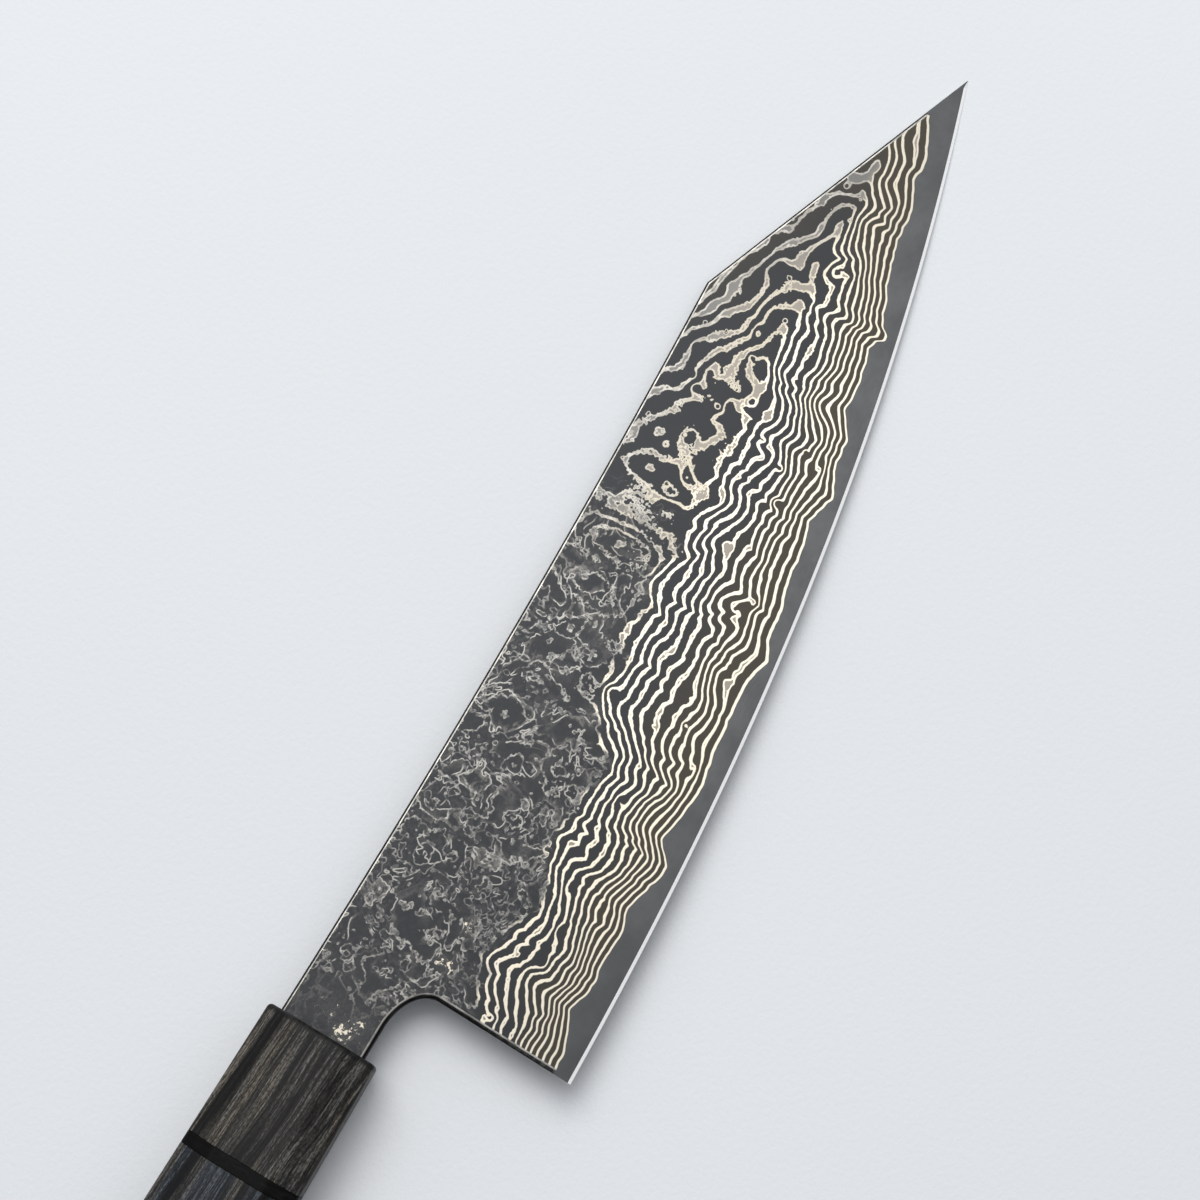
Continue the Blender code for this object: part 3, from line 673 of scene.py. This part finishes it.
def steepness(changes):
    """How much a height changes in a millimetre, from its changes along and across."""
    return (changes[1] * changes[1] + changes[0] * changes[0]).reckon("SQRT").or_more(0.02)


# The bigger outlines, and where the small forms lie thick inside them
broad = outlines((0, 0, 0))
past_ring = abs(broad - 0.5) - 0.052
outside = past_ring.reckon("GREATER_THAN", 0.0)
beside_ring = abs(past_ring) / steepness([(outlines(shift) - broad) * (1 / NUDGE) for shift in NUDGES])
ringed = beside_ring.step(0.20, 0.05, 0.0, 0.85) * place.clouds(3.0, 2.0, 0.6).step(0.45, 0.57)
ringed = ringed * quiet * along.step(6.0, 14.0)
busy = quiet * lively * past_ring.step(0.012, -0.012, 0.28, 0.85)

# How high the small forms stand, in layers
sprayed = spray * place.clouds(5.0, 0.0).step(0.47, 0.62)
frayed = place.spot(shift=(40, 0, 0)).clouds(6.0, 0.0).step(0.42, 0.58, 0.05, 0.24)
frayed = frayed * layers.step(3.5, 8.0, 0.0, 0.4) * (folded * 1.5 + 1.0)
frayed = frayed * from_spine.step(3.0, 12.0, 0.45, 1.0)
hill_height = busy * 2.8 + upper * 0.06
grain_height = quiet * 0.22 + 0.04 + sprayed * 0.7 + frayed
spot_height = upper * (rear * -0.2 + 0.9)


def fine_layers(shift):
    """Small hills of the layers, a millimetre or so across, read at a place shifted a little."""
    at = place.spot(shift=shift)
    hills = at.clouds(1.45, 1.0, 0.35, 0.4) - 0.5
    grain = at.clouds(0.6, 0.0, 0.5) - 0.5
    spots = (hills * 0.35 + at.cells(4.2)).step(0.13, 0.03)
    return hills * hill_height + spots * spot_height + grain * grain_height


# The bright lines: how far a place lies inside one, in millimetres
here = fine_layers((0, 0, 0))
steep = steepness([
    (fine_layers(shift) - here) * (1 / NUDGE) + layered.noted("layers", axis)
    for axis, shift in zip("YZ", NUDGES)
])
half_band = folded * place.clouds(13.0, 1.0).step(0.44, 0.62, -0.04, 0.10) + BAND + quiet * -0.07
level = layers + here - half_band
off_line = abs(level - level.reckon("ROUND")) / steep
inside = (half_band / steep).or_more(busy * -0.01 + 0.12) - off_line
blur = quiet * 0.02 + 0.09
line = inside.step(blur * -1.0, blur)
worn_away = place.clouds(0.8, 1.0, 0.5).step(0.36, 0.60)
line = line * ((worn_away - 1.0) * (quiet * 0.65) + 1.0)
line = line.or_more(ringed) * along.step(4.0, 12.0, 0.15, 1.0)
fill = (inside - (quiet * -0.12 + 0.34)).step(-0.03, 0.12)

# Their colour: cream above the edge and grey near the handle and the spine
near_spine = from_spine.step(13.0, 2.0) * 0.9 * upper
greyness = (rear * upper.step(0.0, 0.6)).or_more(near_spine).or_more(sprayed * 0.85)
grey_line = place.clouds(2.4, 2.0, 0.7).step(0.42, 0.62).tint(DULL_GREY, PALE_GREY)
grey_line = (busy * 0.85).tint(grey_line, FINE_GREY)
grey_line = along.step(14.0, 3.0, 0.0, 0.4).tint(grey_line, DARK_BUSY)
flashes = place.clouds(1.6, 2.0, 0.6).step(0.60, 0.68) * 0.4
grey_line = ringed.tint(flashes.tint(grey_line, PALE_GREY), PALE_GREY)
cream = along.step(150.0, 195.0).tint(CREAM, CREAM_TIP)
bright = greyness.tint(upper.tint(cream, CREAM_UPPER), grey_line)
band = fill.tint(bright, greyness.tint(TAUPE, GREY_FILL))

# The dark steel between them, with haze, brushed fringes and pale specks
dark = layers.step(3.0, 9.0).tint(DARK_LOWER, DARK_UPPER)
dark = (busy * place.clouds(1.0, 2.0, 0.6).step(0.40, 0.66)).tint(dark, DARK_BUSY)
speckled = place.clouds(0.6, 2.0, 0.7)
sparse = place.clouds(8.0, 0.0).step(0.44, 0.60, 0.1, 1.0)
smoke = (past_ring.step(0.08, 0.0) * outside * quiet * sparse).or_more(haze)
dark = (smoke * speckled.step(0.36, 0.60, 0.35, 1.0) * 0.4).tint(dark, HAZE)
brushed = place.spot(shift=(9, 9, 0)).clouds(6.0, 0.0).step(0.54, 0.62)
fringe = beside_ring.step(1.2, 0.1) * outside * quiet * brushed * speckled.step(0.32, 0.60, 0.15, 0.6)
dark = (fringe * along.step(6.0, 14.0)).tint(dark, DULL_GREY)
pale_specks = (haze * 0.25 + place.clouds(1.1, 3.0, 0.7)).step(0.71, 0.79)
pale_specks = pale_specks * haze.step(0.2, 0.5) * along.step(45.0, 30.0)

scratches = place.spot(stretch=(6.0, 0.35, 1.0), turn=(0, 0, 8)).clouds(1.0, 3.0, 0.6)
proud = place.clouds(0.18, 2.0, 0.6) * 0.25 + line * 0.6
LAYERED_STEEL = layered.done(
    Base_Color=pale_specks.tint(line.tint(dark, band), CREAM),
    Roughness=line * -0.10 + 0.46 + scratches * 0.05,
    Normal=scratches.relief(0.0015, proud.relief(0.010)),
)

# Polished edges of the soft layers: the spine, the choil and the back of the heel. Their colour is painted
# reflection: dark grey on the steep outer part of each rounding, and a painted highlight line on the bare
# steel further in, where the rounding begins.
walls = Finish("eased_layered_steel", Metallic=1.0)
place = walls.noted("place")
long_lines = place.spot(stretch=(0.03, 1.0, 9.0)).clouds(1.0, 3.0, 0.6)
# Painted reflection: dark grey stands for the dark room that the steep outer rounding reflects, and light
# grey, on the bare unetched steel, is a painted highlight line.
painted_dark_reflection = long_lines.step(0.44, 0.60).tint(paint(40, 40, 42), paint(66, 66, 64))
painted_highlight_line = place.clouds(2.2, 2.0, 0.6).step(0.35, 0.65).tint(paint(118, 117, 113), paint(160, 157, 151))
rounding = (walls.noted("ease", "X") - walls.noted("ease", "Y")).step(-0.06, 0.06)
EASED_STEEL = walls.done(
    Base_Color=rounding.tint(painted_dark_reflection, painted_highlight_line),
    Roughness=long_lines.step(0.3, 0.7, 0.24, 0.36),
    Normal=long_lines.relief(0.004),
)

both_finishes = [LAYERED_STEEL, EASED_STEEL]
right_face = cladding_skin("cladding_right_ground", 1, 3, HAMMERED, HAZED, both_finishes)
lay_down(right_face, "layered_cladding", "cladding_right")
left_face = cladding_skin("cladding_left_ground", -1, 17, HAMMERED_LEFT, HAZED_LEFT, both_finishes)
lay_down(left_face, "layered_cladding", "cladding_left")

# The core and its tang
# One bar of hard carbon steel runs from the edge to the end of the hidden tang. It shows as a plain satin
# band below the layers, with a narrow bevel where it was sharpened, painted near white as a painted
# highlight, and as a line along the spine.

BEVEL = 0.6
BAND_ROWS = 9
TIP_COLUMNS = 40
LEDGE = 0.002  # height of the step from the bare steel to where the soft layers cover it


def facing_out(mesh):
    """Turns every face of a closed mesh outwards."""
    shape = bmesh.new()
    shape.from_mesh(mesh)
    bmesh.ops.recalc_face_normals(shape, faces=shape.faces)
    if shape.calc_volume(signed=True) < 0:
        bmesh.ops.reverse_faces(shape, faces=shape.faces)
    shape.to_mesh(mesh)
    shape.free()


def core_skin(name, finishes):
    outline, _ = neck_outline(NECK_COLUMNS)
    seam = outline[-1]
    flat = cladding_plan()[0]
    border_line = flat[:COLUMNS * (ROWS + 1)].reshape(COLUMNS, ROWS + 1, 2)[:, 0]
    tip_x = TIP_X - np.geomspace(TIP_X - border_line[-1, 0] - 0.15, 0.02, TIP_COLUMNS)
    tip_line = np.stack([tip_x, upper_y(tip_x) - 0.004], axis=1)
    border_line = np.concatenate([[(HEEL_X + 0.03, border_y(HEEL_X))], border_line, tip_line])
    border_line[0, 0] = HEEL_X + HEEL_LEAN * (border_line[0, 1] + HEEL_DEPTH) / (CHOIL_END_Y + HEEL_DEPTH)
    low_x = border_line[:, 0] - np.interp(np.arange(len(border_line)), [0, 60], [0.06, 0.0])
    low_x[0] = HEEL_X
    low_x[-1] = TIP_X - 0.012
    edge_line = np.stack([low_x, edge_y(low_x)], axis=1)
    bevel = np.minimum(BEVEL, 0.45 * (border_line[:, 1] - edge_line[:, 1]))
    tall = border_line[:, 1] - edge_line[:, 1]
    shares = [np.zeros_like(tall), bevel / tall]
    shares += [mixed(bevel / tall, 1, k / BAND_ROWS) for k in range(1, BAND_ROWS + 1)]
    band = [mixed(edge_line, border_line, share[:, None]) for share in shares]
    count_clad = COLUMNS + 1
    ledge = border_line + np.array((0, LEDGE))
    top = np.stack([border_line[:, 0], upper_y(border_line[:, 0])], axis=1)
    top[0] = (seam[0], upper_y(seam[0]))
    middle = mixed(ledge, top, 0.5)
    middle[0] = seam
    grid = np.stack(band + [ledge, middle, top], axis=1)
    rows = grid.shape[1]
    heights = blade_half(grid[..., 0], grid[..., 1])
    heights[:, 0] = 0.0
    heights[:count_clad, -3:] = core_half(grid[:count_clad, -3:, 0])
    points = [grid.reshape(-1, 2)]
    tall_all = [heights.reshape(-1)]
    body = np.arange(grid.shape[0] * rows).reshape(-1, rows)
    neck = []
    count = body.size
    tops = [half for _, half in TANG] + [NECK_ABOVE] + list(upper_y(outline[len(TANG) + 1:-1, 0]))
    for low, high in zip(outline[:-1], tops):
        pair = np.array([low, (low[0], high)])
        points.append(pair)
        tall_all.append(core_half(pair[:, 0]))
        neck.append((count, count + 1))
        count += 2
    neck = np.array(neck + [(body[0, -2], body[0, -1])])
    flat = np.concatenate(points)
    half = np.concatenate(tall_all)
    faces, kinds = [], []
    for grid_index in (body, neck):
        for k in range(grid_index.shape[1] - 1):
            a, b = grid_index[:-1, k], grid_index[1:, k]
            c, d = grid_index[1:, k + 1], grid_index[:-1, k + 1]
            faces.append(np.stack([a, b, c, d], axis=1))
            bright = 1 if grid_index is body and k == 0 else 0
            kinds += [bright] * len(a)
    faces = np.concatenate(faces)
    ring = np.concatenate([
        neck[:-1, 0], body[0, -2::-1], body[1:, 0], body[-1, 1:], body[-2::-1, -1], neck[-2::-1, 1],
    ])
    total = len(flat)
    upper_points = np.column_stack([flat, half])
    lower_points = np.column_stack([flat, -half])
    # The side that lies down touches the table, and goes no lower.
    over_table = lower_points @ np.array(laid)[2, :3] + laid.translation.z
    lower_points[:, 2] -= np.minimum(over_table, 0) / MM
    walls = np.stack([ring, ring + total, np.roll(ring, -1) + total, np.roll(ring, -1)], axis=1)
    everything = [*faces, *(face[::-1] + total for face in faces), *walls]
    kinds = kinds + kinds + [2] * len(walls)
    shape = bmesh.new()
    verts = [shape.verts.new(p) for p in np.concatenate([upper_points, lower_points])]
    for face, kind in zip(everything, kinds):
        made = shape.faces.new([verts[k] for k in face])
        made.material_index = kind
    bmesh.ops.remove_doubles(shape, verts=shape.verts, dist=1e-5)
    piece = skin(name, [], [], finishes)
    shape.to_mesh(piece.data)
    shape.free()
    facing_out(piece.data)
    piece.data.shade_smooth()
    piece.data.set_sharp_from_angle(angle=math.radians(8))
    return piece


satin = Finish("core_satin_steel", Metallic=1.0)
place = satin.noted("place")
strokes = place.spot(stretch=(0.5, 7.0, 1.0), turn=(0, 0, -12)).clouds(1.0, 4.0, 0.65)
SATIN_CORE = satin.done(
    Base_Color=place.clouds(9.0, 3.0, 0.6).step(0.3, 0.7).tint(paint(72, 73, 74), paint(80, 81, 82)),
    Roughness=strokes.step(0.3, 0.7, 0.32, 0.46),
    Normal=strokes.relief(0.004),
)
# Painted highlight: the sharpened bevel is coloured near white, with little metal, for the bright light it
# reflects.
honed = Finish("sharpened_bevel_painted_highlight", Metallic=0.1)
hone_lines = honed.noted("place").spot(stretch=(9.0, 0.6, 1.0), turn=(0, 0, 20)).clouds(1.0, 2.0, 0.6)
HONED_PAINTED_HIGHLIGHT = honed.done(
    Base_Color=hone_lines.tint(paint(244, 246, 248), paint(255, 255, 255)),
    Roughness=hone_lines.step(0.3, 0.7, 0.22, 0.34),
    Normal=hone_lines.relief(0.002),
)
rubbed = Finish("polished_core_line", Metallic=0.6)
rub_lines = rubbed.noted("place").spot(stretch=(0.05, 1.5, 12.0)).clouds(1.0, 3.0, 0.6)
POLISHED_CORE = rubbed.done(
    Base_Color=rub_lines.tint(paint(104, 105, 106), paint(160, 160, 158)),
    Roughness=rub_lines.step(0.3, 0.7, 0.26, 0.40),
    Normal=rub_lines.relief(0.003),
)
core = core_skin("core_ground", [SATIN_CORE, HONED_PAINTED_HIGHLIGHT, POLISHED_CORE])
lay_down(core, "core_steel", "core_steel")

# The dowel and the adhesive
# A slotted pin of pale hardwood joins the three parts of the handle from inside. Amber adhesive fills the
# slot round the tang. Both are hidden in the whole knife, and keep their CAD shapes.

DOWEL_RADIUS = 6.3
CAD_TO_MM = (1000, 1000, 1000)


def cad_spot(finish):
    """The place on a CAD node, in millimetres, for its finish to read."""
    return finish.node("TexCoord", {}, "Object").spot(stretch=CAD_TO_MM)


def dress(node, surface):
    """Gives a CAD node that stays its finish."""
    found = frame["nodes"][node]
    found.data.materials.clear()
    found.data.materials.append(surface)


pale = Finish("dowel_hardwood")
at = cad_spot(pale)
fibres = at.spot(stretch=(0.06, 1.6, 1.6)).clouds(1.0, 4.0, 0.6)
flecks = at.spot(stretch=(0.4, 6.0, 6.0)).clouds(1.0, 1.0, 0.5)
dress("dowel", pale.done(
    Base_Color=fibres.step(0.35, 0.65).tint(paint(178, 142, 98), paint(206, 174, 128)),
    Roughness=flecks.step(0.3, 0.7, 0.6, 0.78),
    Normal=fibres.relief(0.05, flecks.relief(0.03)),
))
amber = Finish("amber_adhesive")
at = cad_spot(amber)
cloudy = at.clouds(3.0, 3.0, 0.6)
dress("tang_adhesive", amber.done(
    Base_Color=cloudy.step(0.3, 0.7).tint(paint(150, 112, 58), paint(192, 154, 92)),
    Roughness=cloudy.step(0.3, 0.7, 0.22, 0.38),
    Normal=at.cells(1.4).step(0.1, 0.3).relief(0.04),
))

# The ferrule
# A block of laminated, dyed wood, planed to eight sides, with a round bore for the dowel behind and a tall
# mouth in front that takes the neck of the blade. Its front corners are rounded with fine paper.

FERRULE_LENGTH = 25.5
FRONT_HEIGHT, FRONT_WIDTH = 21.9, 17.9
BUTT_HEIGHT, BUTT_WIDTH = 25.8, 20.8
CHAMFER_HEIGHT, CHAMFER_WIDTH = 5.7, 3.9
FRONT_ROUND, BUTT_ROUND = 0.8, 1.2
JOINT_EASE = 0.08
CORNER_REACH = 0.62
MOUTH_DEPTH, MOUTH_FILM = 4.2, 0.5
MOUTH_CORNER, NECK_CORNER = 0.45, 0.5
RIM_ROUND = 0.18
BESIDE = 0.15  # from a rounded corner to the next points, which keep the planed sides flat
FIT = 0.05


def eight_sides(x, inset=0.0):
    """A ring round the handle at x, drawn in by inset, with each corner rounded."""
    share = -x / HANDLE_LENGTH
    half_y = mixed(FRONT_HEIGHT, BUTT_HEIGHT, share) / 2
    half_z = mixed(FRONT_WIDTH, BUTT_WIDTH, share) / 2
    corners = [
        (half_y, half_z - CHAMFER_WIDTH), (half_y - CHAMFER_HEIGHT, half_z),
        (-half_y + CHAMFER_HEIGHT, half_z), (-half_y, half_z - CHAMFER_WIDTH),
    ]
    corners = np.array(corners + [(-y, -z) for y, z in corners])
    ring = []
    for k, corner in enumerate(corners):
        ends = []
        for other in (corners[k - 1], corners[(k + 1) % 8]):
            toward = (other - corner) / np.hypot(*(other - corner))
            ends.append(corner + toward * CORNER_REACH)
        before, after = ends
        ring.append(before + (before - corner) / CORNER_REACH * BESIDE)
        for t in np.linspace(0, 1, 6):
            ring.append((1 - t) ** 2 * before + 2 * t * (1 - t) * corner + t * t * after)
        ring.append(after + (after - corner) / CORNER_REACH * BESIDE)
    ring = np.array(ring) * (1 - inset / half_y, 1 - inset / half_z)
    return np.column_stack([np.full(len(ring), x), ring])


def rounded_rings(x, radius, backward, ring, count=7):
    """Rings that round an end face, from the face inward, and one more just behind them."""
    turns = np.linspace(0, math.pi / 2, count)
    rings = [ring(x + backward * radius * (1 - math.cos(a)), radius * (1 - math.sin(a))) for a in turns]
    return rings + [ring(x + backward * radius * 1.25, 0.0)]


def lofted(rings, looped=False):
    """A skin through rings of the same number of points, closed at both ends or round in a loop."""
    count = len(rings[0])
    points = np.concatenate(rings)
    total = len(points)
    faces = [] if looped else [list(range(count))[::-1], list(range(total - count, total))]
    for start in range(0, total if looped else total - count, count):
        further = (start + count) % total
        for k in range(count):
            after = (k + 1) % count
            faces.append([start + k, start + after, further + after, further + k])
    return points, faces


def hollowed(name, rings, tools, finishes, sharp=30):
    """A turned or planed block, with bores and slots cut by tools given as rings too."""
    block = skin(name, *lofted(rings), finishes)
    facing_out(block.data)
    cutters = []
    for tool_rings in tools:
        cutter = skin("cutter", *lofted(tool_rings), [])
        facing_out(cutter.data)
        change = block.modifiers.new("cut", "BOOLEAN")
        change.object = cutter
        change.operation = "DIFFERENCE"
        change.solver = "EXACT"
        cutters.append(cutter)
    bpy.context.view_layer.update()
    graph = bpy.context.evaluated_depsgraph_get()
    cut = bpy.data.meshes.new_from_object(block.evaluated_get(graph))
    block.modifiers.clear()
    block.data = cut
    for cutter in cutters:
        bpy.data.objects.remove(cutter, do_unlink=True)
    cut.shade_smooth()
    cut.set_sharp_from_angle(angle=math.radians(sharp))
    return block


def round_ring(x, radius, sides=64):
    turns = np.arange(sides) * 2 * math.pi / sides
    return np.column_stack([np.full(sides, x), radius * np.cos(turns), radius * np.sin(turns)])


def bore(back, front):
    """The tool that cuts the round hole for the dowel."""
    return [round_ring(x, DOWEL_RADIUS + FIT) for x in (back, front)]


def slot_ring(x, low, high, half, corner, steps=5):
    """A tall rounded rectangle across the knife at x."""
    ring = []
    corners = ((high, half), (high, -half), (low, -half), (low, half))
    for (y, z), start in zip(corners, (0, -90, -180, -270)):
        middle = (y - math.copysign(corner, y - (low + high) / 2), z - math.copysign(corner, z))
        for turn in np.linspace(0, 90, steps):
            angle = math.radians(90 - turn + start)
            ring.append((x, middle[0] + corner * math.cos(angle), middle[1] + corner * math.sin(angle)))
    return np.array(ring)


MOUTH_LOW, MOUTH_HIGH = -NECK_BELOW - MOUTH_FILM, NECK_ABOVE + MOUTH_FILM
MOUTH_HALF = NECK_THICKNESS / 2 + MOUTH_FILM


def mouth_ring(x, grow):
    return slot_ring(x, MOUTH_LOW - grow, MOUTH_HIGH + grow, MOUTH_HALF + grow, MOUTH_CORNER + grow)


def wood(name, dark, light, glow, lean, band_width):
    """Laminated dyed wood: lengthwise sheets cut at a slight slant, with wandering grain and fine pores."""
    finish = Finish(name, Specular_IOR_Level=0.15)
    at = finish.noted("place")
    wander = at.spot(stretch=(0.05, 0.16, 0.16)).clouds(1.0, 1.0, 0.5)
    moved = at.node("VectorMath", {0: at, 1: wander.node("CombineXYZ", {"Y": wander * 1.9, "Z": wander})})
    slanted = moved.spot(turn=lean)
    across = 1 / band_width
    bands = slanted.spot(stretch=(0.012, across, 0.2 * across)).clouds(1.0, 1.0, 0.6).step(0.37, 0.52, 0.07)
    sheets = slanted.spot(stretch=(0.022, 1.5, 0.35)).clouds(1.0, 1.0, 0.7).step(0.42, 0.60)
    fibres = slanted.spot(stretch=(0.09, 4.2, 3.2)).clouds(1.0, 2.0, 0.6).step(0.38, 0.62, 0.20)
    dashes = slanted.spot(stretch=(1.5, 4.2, 3.4)).clouds(1.0, 2.0, 0.6)
    share = (sheets * 0.75 + 0.25) * fibres * bands * dashes.step(0.36, 0.62, 0.35, 1.3)
    warm = at.spot(stretch=(0.03, 0.3, 0.3)).clouds(1.0, 1.0, 0.5).step(0.44, 0.60)
    finish.done(Roughness=share * 0.12 + 0.46, Normal=(dashes * 0.5 + share).relief(0.05))
    return finish, share.tint(dark, warm.tint(light, glow))


brown, color = wood(
    "ferrule_laminate", paint(21, 21, 21), paint(112, 110, 106), paint(124, 117, 107), (14, 0, 3.5), 2.4,
)
# Painted shade: the last millimetre or so at the front of the ferrule, where its end is rounded, is
# coloured near black for the shade on the rounding.
painted_front_shade = brown.noted("place", "X").step(-1.3, -0.5, 0.0, 0.85)
FERRULE_WOOD = brown.done(Base_Color=painted_front_shade.tint(color, paint(20, 20, 20)))
front_rings = rounded_rings(0.0, FRONT_ROUND, -1, eight_sides)
rear_rings = rounded_rings(-FERRULE_LENGTH, JOINT_EASE, 1, eight_sides, 4)
turns = np.linspace(0.25, math.pi / 2, 5)
rim = [mouth_ring(0.5, RIM_ROUND), mouth_ring(0.0, RIM_ROUND)]
rim += [mouth_ring(-RIM_ROUND * math.sin(a), RIM_ROUND * (1 - math.sin(a))) for a in turns]
mouth_tool = rim + [mouth_ring(-MOUTH_DEPTH - FIT, 0.0)]
ferrule_rings = front_rings + rear_rings[::-1]
ferrule = hollowed(
    "ferrule_block", ferrule_rings, [mouth_tool, bore(-FERRULE_LENGTH - 1, -MOUTH_DEPTH)], [FERRULE_WOOD],
)
lay_down(ferrule, "ferrule_wood", "ferrule")

# The seal round the neck
# Black filler closes the mouth round the neck of the blade. It was pressed in and wiped, so its face is
# slightly hollow between the wood and the steel.

film = MOUTH_FILM - FIT


def seal_ring(x, out):
    """A ring in the mouth, from the neck's own surface at 0 to the wood at 1."""
    grow = film * out + 0.01
    corner = mixed(NECK_CORNER, MOUTH_CORNER, out)
    return slot_ring(x, -NECK_BELOW - grow, NECK_ABOVE + grow, NECK_THICKNESS / 2 + grow, corner)


hollow = [(-0.2, 0.0), (-0.24, 0.12), (-0.33, 0.35), (-0.36, 0.55), (-0.32, 0.8), (-0.2, 1.0)]
loop = [seal_ring(x, out) for x, out in hollow + [(SHOULDER_X, 1.0), (SHOULDER_X, 0.0)]]
filler = Finish("black_filler")
specks = filler.noted("place").clouds(0.5, 3.0, 0.6)
BLACK_FILLER = filler.done(
    Base_Color=specks.step(0.4, 0.7).tint(paint(22, 22, 22), paint(38, 37, 36)),
    Roughness=specks.step(0.3, 0.7, 0.42, 0.6),
    Normal=specks.relief(0.02),
)
seal = skin("neck_seal", *lofted(loop, looped=True), [BLACK_FILLER])
facing_out(seal.data)
lay_down(seal, "filler", "mouth_seal")

# The spacer
# A thin ring of polished black horn between the two blocks of wood, planed flush with them.

SPACER_THICKNESS = 2.4
horn = Finish("black_horn", Specular_IOR_Level=0.08)
place = horn.noted("place")
veils = place.spot(stretch=(1.0, 0.25, 0.25), turn=(0, 20, 30)).clouds(1.2, 4.0, 0.6, 0.6)
rubbed = place.spot(stretch=(6.0, 0.8, 0.8)).clouds(1.0, 3.0, 0.6)
BLACK_HORN = horn.done(
    Base_Color=veils.step(0.45, 0.75).tint(paint(12, 12, 13), paint(26, 25, 25)),
    Roughness=rubbed.step(0.3, 0.7, 0.42, 0.58),
    Normal=rubbed.relief(0.006),
)
spacer_front, spacer_back = -FERRULE_LENGTH - FIT, -FERRULE_LENGTH - SPACER_THICKNESS
spacer_rings = rounded_rings(spacer_front, JOINT_EASE, -1, eight_sides, 4)
spacer_rings += rounded_rings(spacer_back, JOINT_EASE, 1, eight_sides, 4)[::-1]
spacer_bore = bore(spacer_back - 1, spacer_front + 1)
spacer = hollowed("spacer_of_horn", spacer_rings, [spacer_bore], [BLACK_HORN])
lay_down(spacer, "black_horn", "spacer_ring")

# The body of the handle
# A long block of laminated wood, dyed blue grey, planed to eight sides that widen towards the butt, and
# bored from the front for the dowel.

BODY_FRONT = -FERRULE_LENGTH - SPACER_THICKNESS - FIT
BORE_END = -100.6
blue, color = wood(
    "grip_laminate", paint(22, 23, 25), paint(94, 101, 110), paint(102, 98, 92), (-9, 0, 2.5), 3.0,
)
GRIP_WOOD = blue.done(Base_Color=color)
body_rings = rounded_rings(BODY_FRONT, JOINT_EASE, -1, eight_sides, 4)
body_rings += [eight_sides(x) for x in np.linspace(BODY_FRONT - 4, -HANDLE_LENGTH + 6, 12)]
body_rings += rounded_rings(-HANDLE_LENGTH, BUTT_ROUND, 1, eight_sides)[::-1]
grip = hollowed("grip_block", body_rings, [bore(BORE_END, BODY_FRONT + 1)], [GRIP_WOOD])
lay_down(grip, "grip_wood", "handle_body")

# The table top
# A plain pale sheet under the knife.

TABLE_HALF = 2.0
table_corners = [(x * TABLE_HALF, y * TABLE_HALF, 0) for x, y in ((-1, -1), (1, -1), (1, 1), (-1, 1))]
paper = Finish("pale_sheet", Specular_IOR_Level=0.2)
at = cad_spot(paper)
tooth = at.clouds(1.1, 3.0, 0.65)
PALE_SHEET = paper.done(
    Base_Color=at.clouds(160.0, 1.0, 0.5).tint(paint(233, 236, 239), paint(238, 241, 244)),
    Roughness=tooth.step(0.3, 0.7, 0.75, 0.9),
    Normal=tooth.relief(0.09),
)
table = skin("table_top", table_corners, [(0, 1, 2, 3)], [PALE_SHEET])

# Light
# A wide window from the spine's side, and a room that is bright overhead and darker at eye level.

room = bpy.data.worlds.new("room")
bpy.context.scene.world = room
room.use_nodes = True
tree = room.node_tree
background = tree.nodes["Background"]
toward = tree.nodes.new("ShaderNodeTexCoord")
brighter_side = tree.nodes.new("ShaderNodeVectorMath")
brighter_side.operation = "DOT_PRODUCT"
brighter_side.inputs[1].default_value = (0.33, 0.16, 0.80)
tree.links.new(toward.outputs["Generated"], brighter_side.inputs[0])
ramp = tree.nodes.new("ShaderNodeValToRGB")
tree.links.new(brighter_side.outputs["Value"], ramp.inputs[0])
stops = ramp.color_ramp.elements
stops[0].color = (0.05, 0.05, 0.053, 1)
stops[1].position, stops[1].color = 0.84, (1.05, 1.06, 1.09, 1)
stops.new(0.40).color = (0.20, 0.202, 0.21, 1)
stops.new(0.66).color = (0.50, 0.505, 0.525, 1)
tree.links.new(ramp.outputs[0], background.inputs["Color"])
background.inputs["Strength"].default_value = 1.0

window = bpy.data.lights.new("window", "AREA")
window.shape = "RECTANGLE"
window.size, window.size_y = 0.8, 0.8
window.energy = 8.5
window.color = (1.0, 0.99, 0.97)
window_piece = bpy.data.objects.new("window", window)
bpy.context.scene.collection.objects.link(window_piece)
window_piece.location = (0.45, 0.40, 1.10)
window_piece.rotation_euler = (-window_piece.location).to_track_quat("-Z", "Y").to_euler()

# The camera
# It looks down on the blade's right face from a little behind the heel.

bpy.context.scene.view_settings.view_transform = "Standard"
lens = bpy.data.cameras.new("camera")
lens.sensor_width = 36.0
lens.lens = 68.17
camera = bpy.data.objects.new("camera", lens)
bpy.context.scene.collection.objects.link(camera)
axes = Matrix(((0.50483, 0.83123, -0.23281), (-0.86123, 0.50332, -0.07044), (0.05863, 0.23606, 0.96997)))
facing = (turned.to_3x3() @ axes).to_4x4()
camera.matrix_world = Matrix.Translation(laid @ Vector((-4.975, -31.713, 412.771))) @ facing
bpy.context.scene.camera = camera
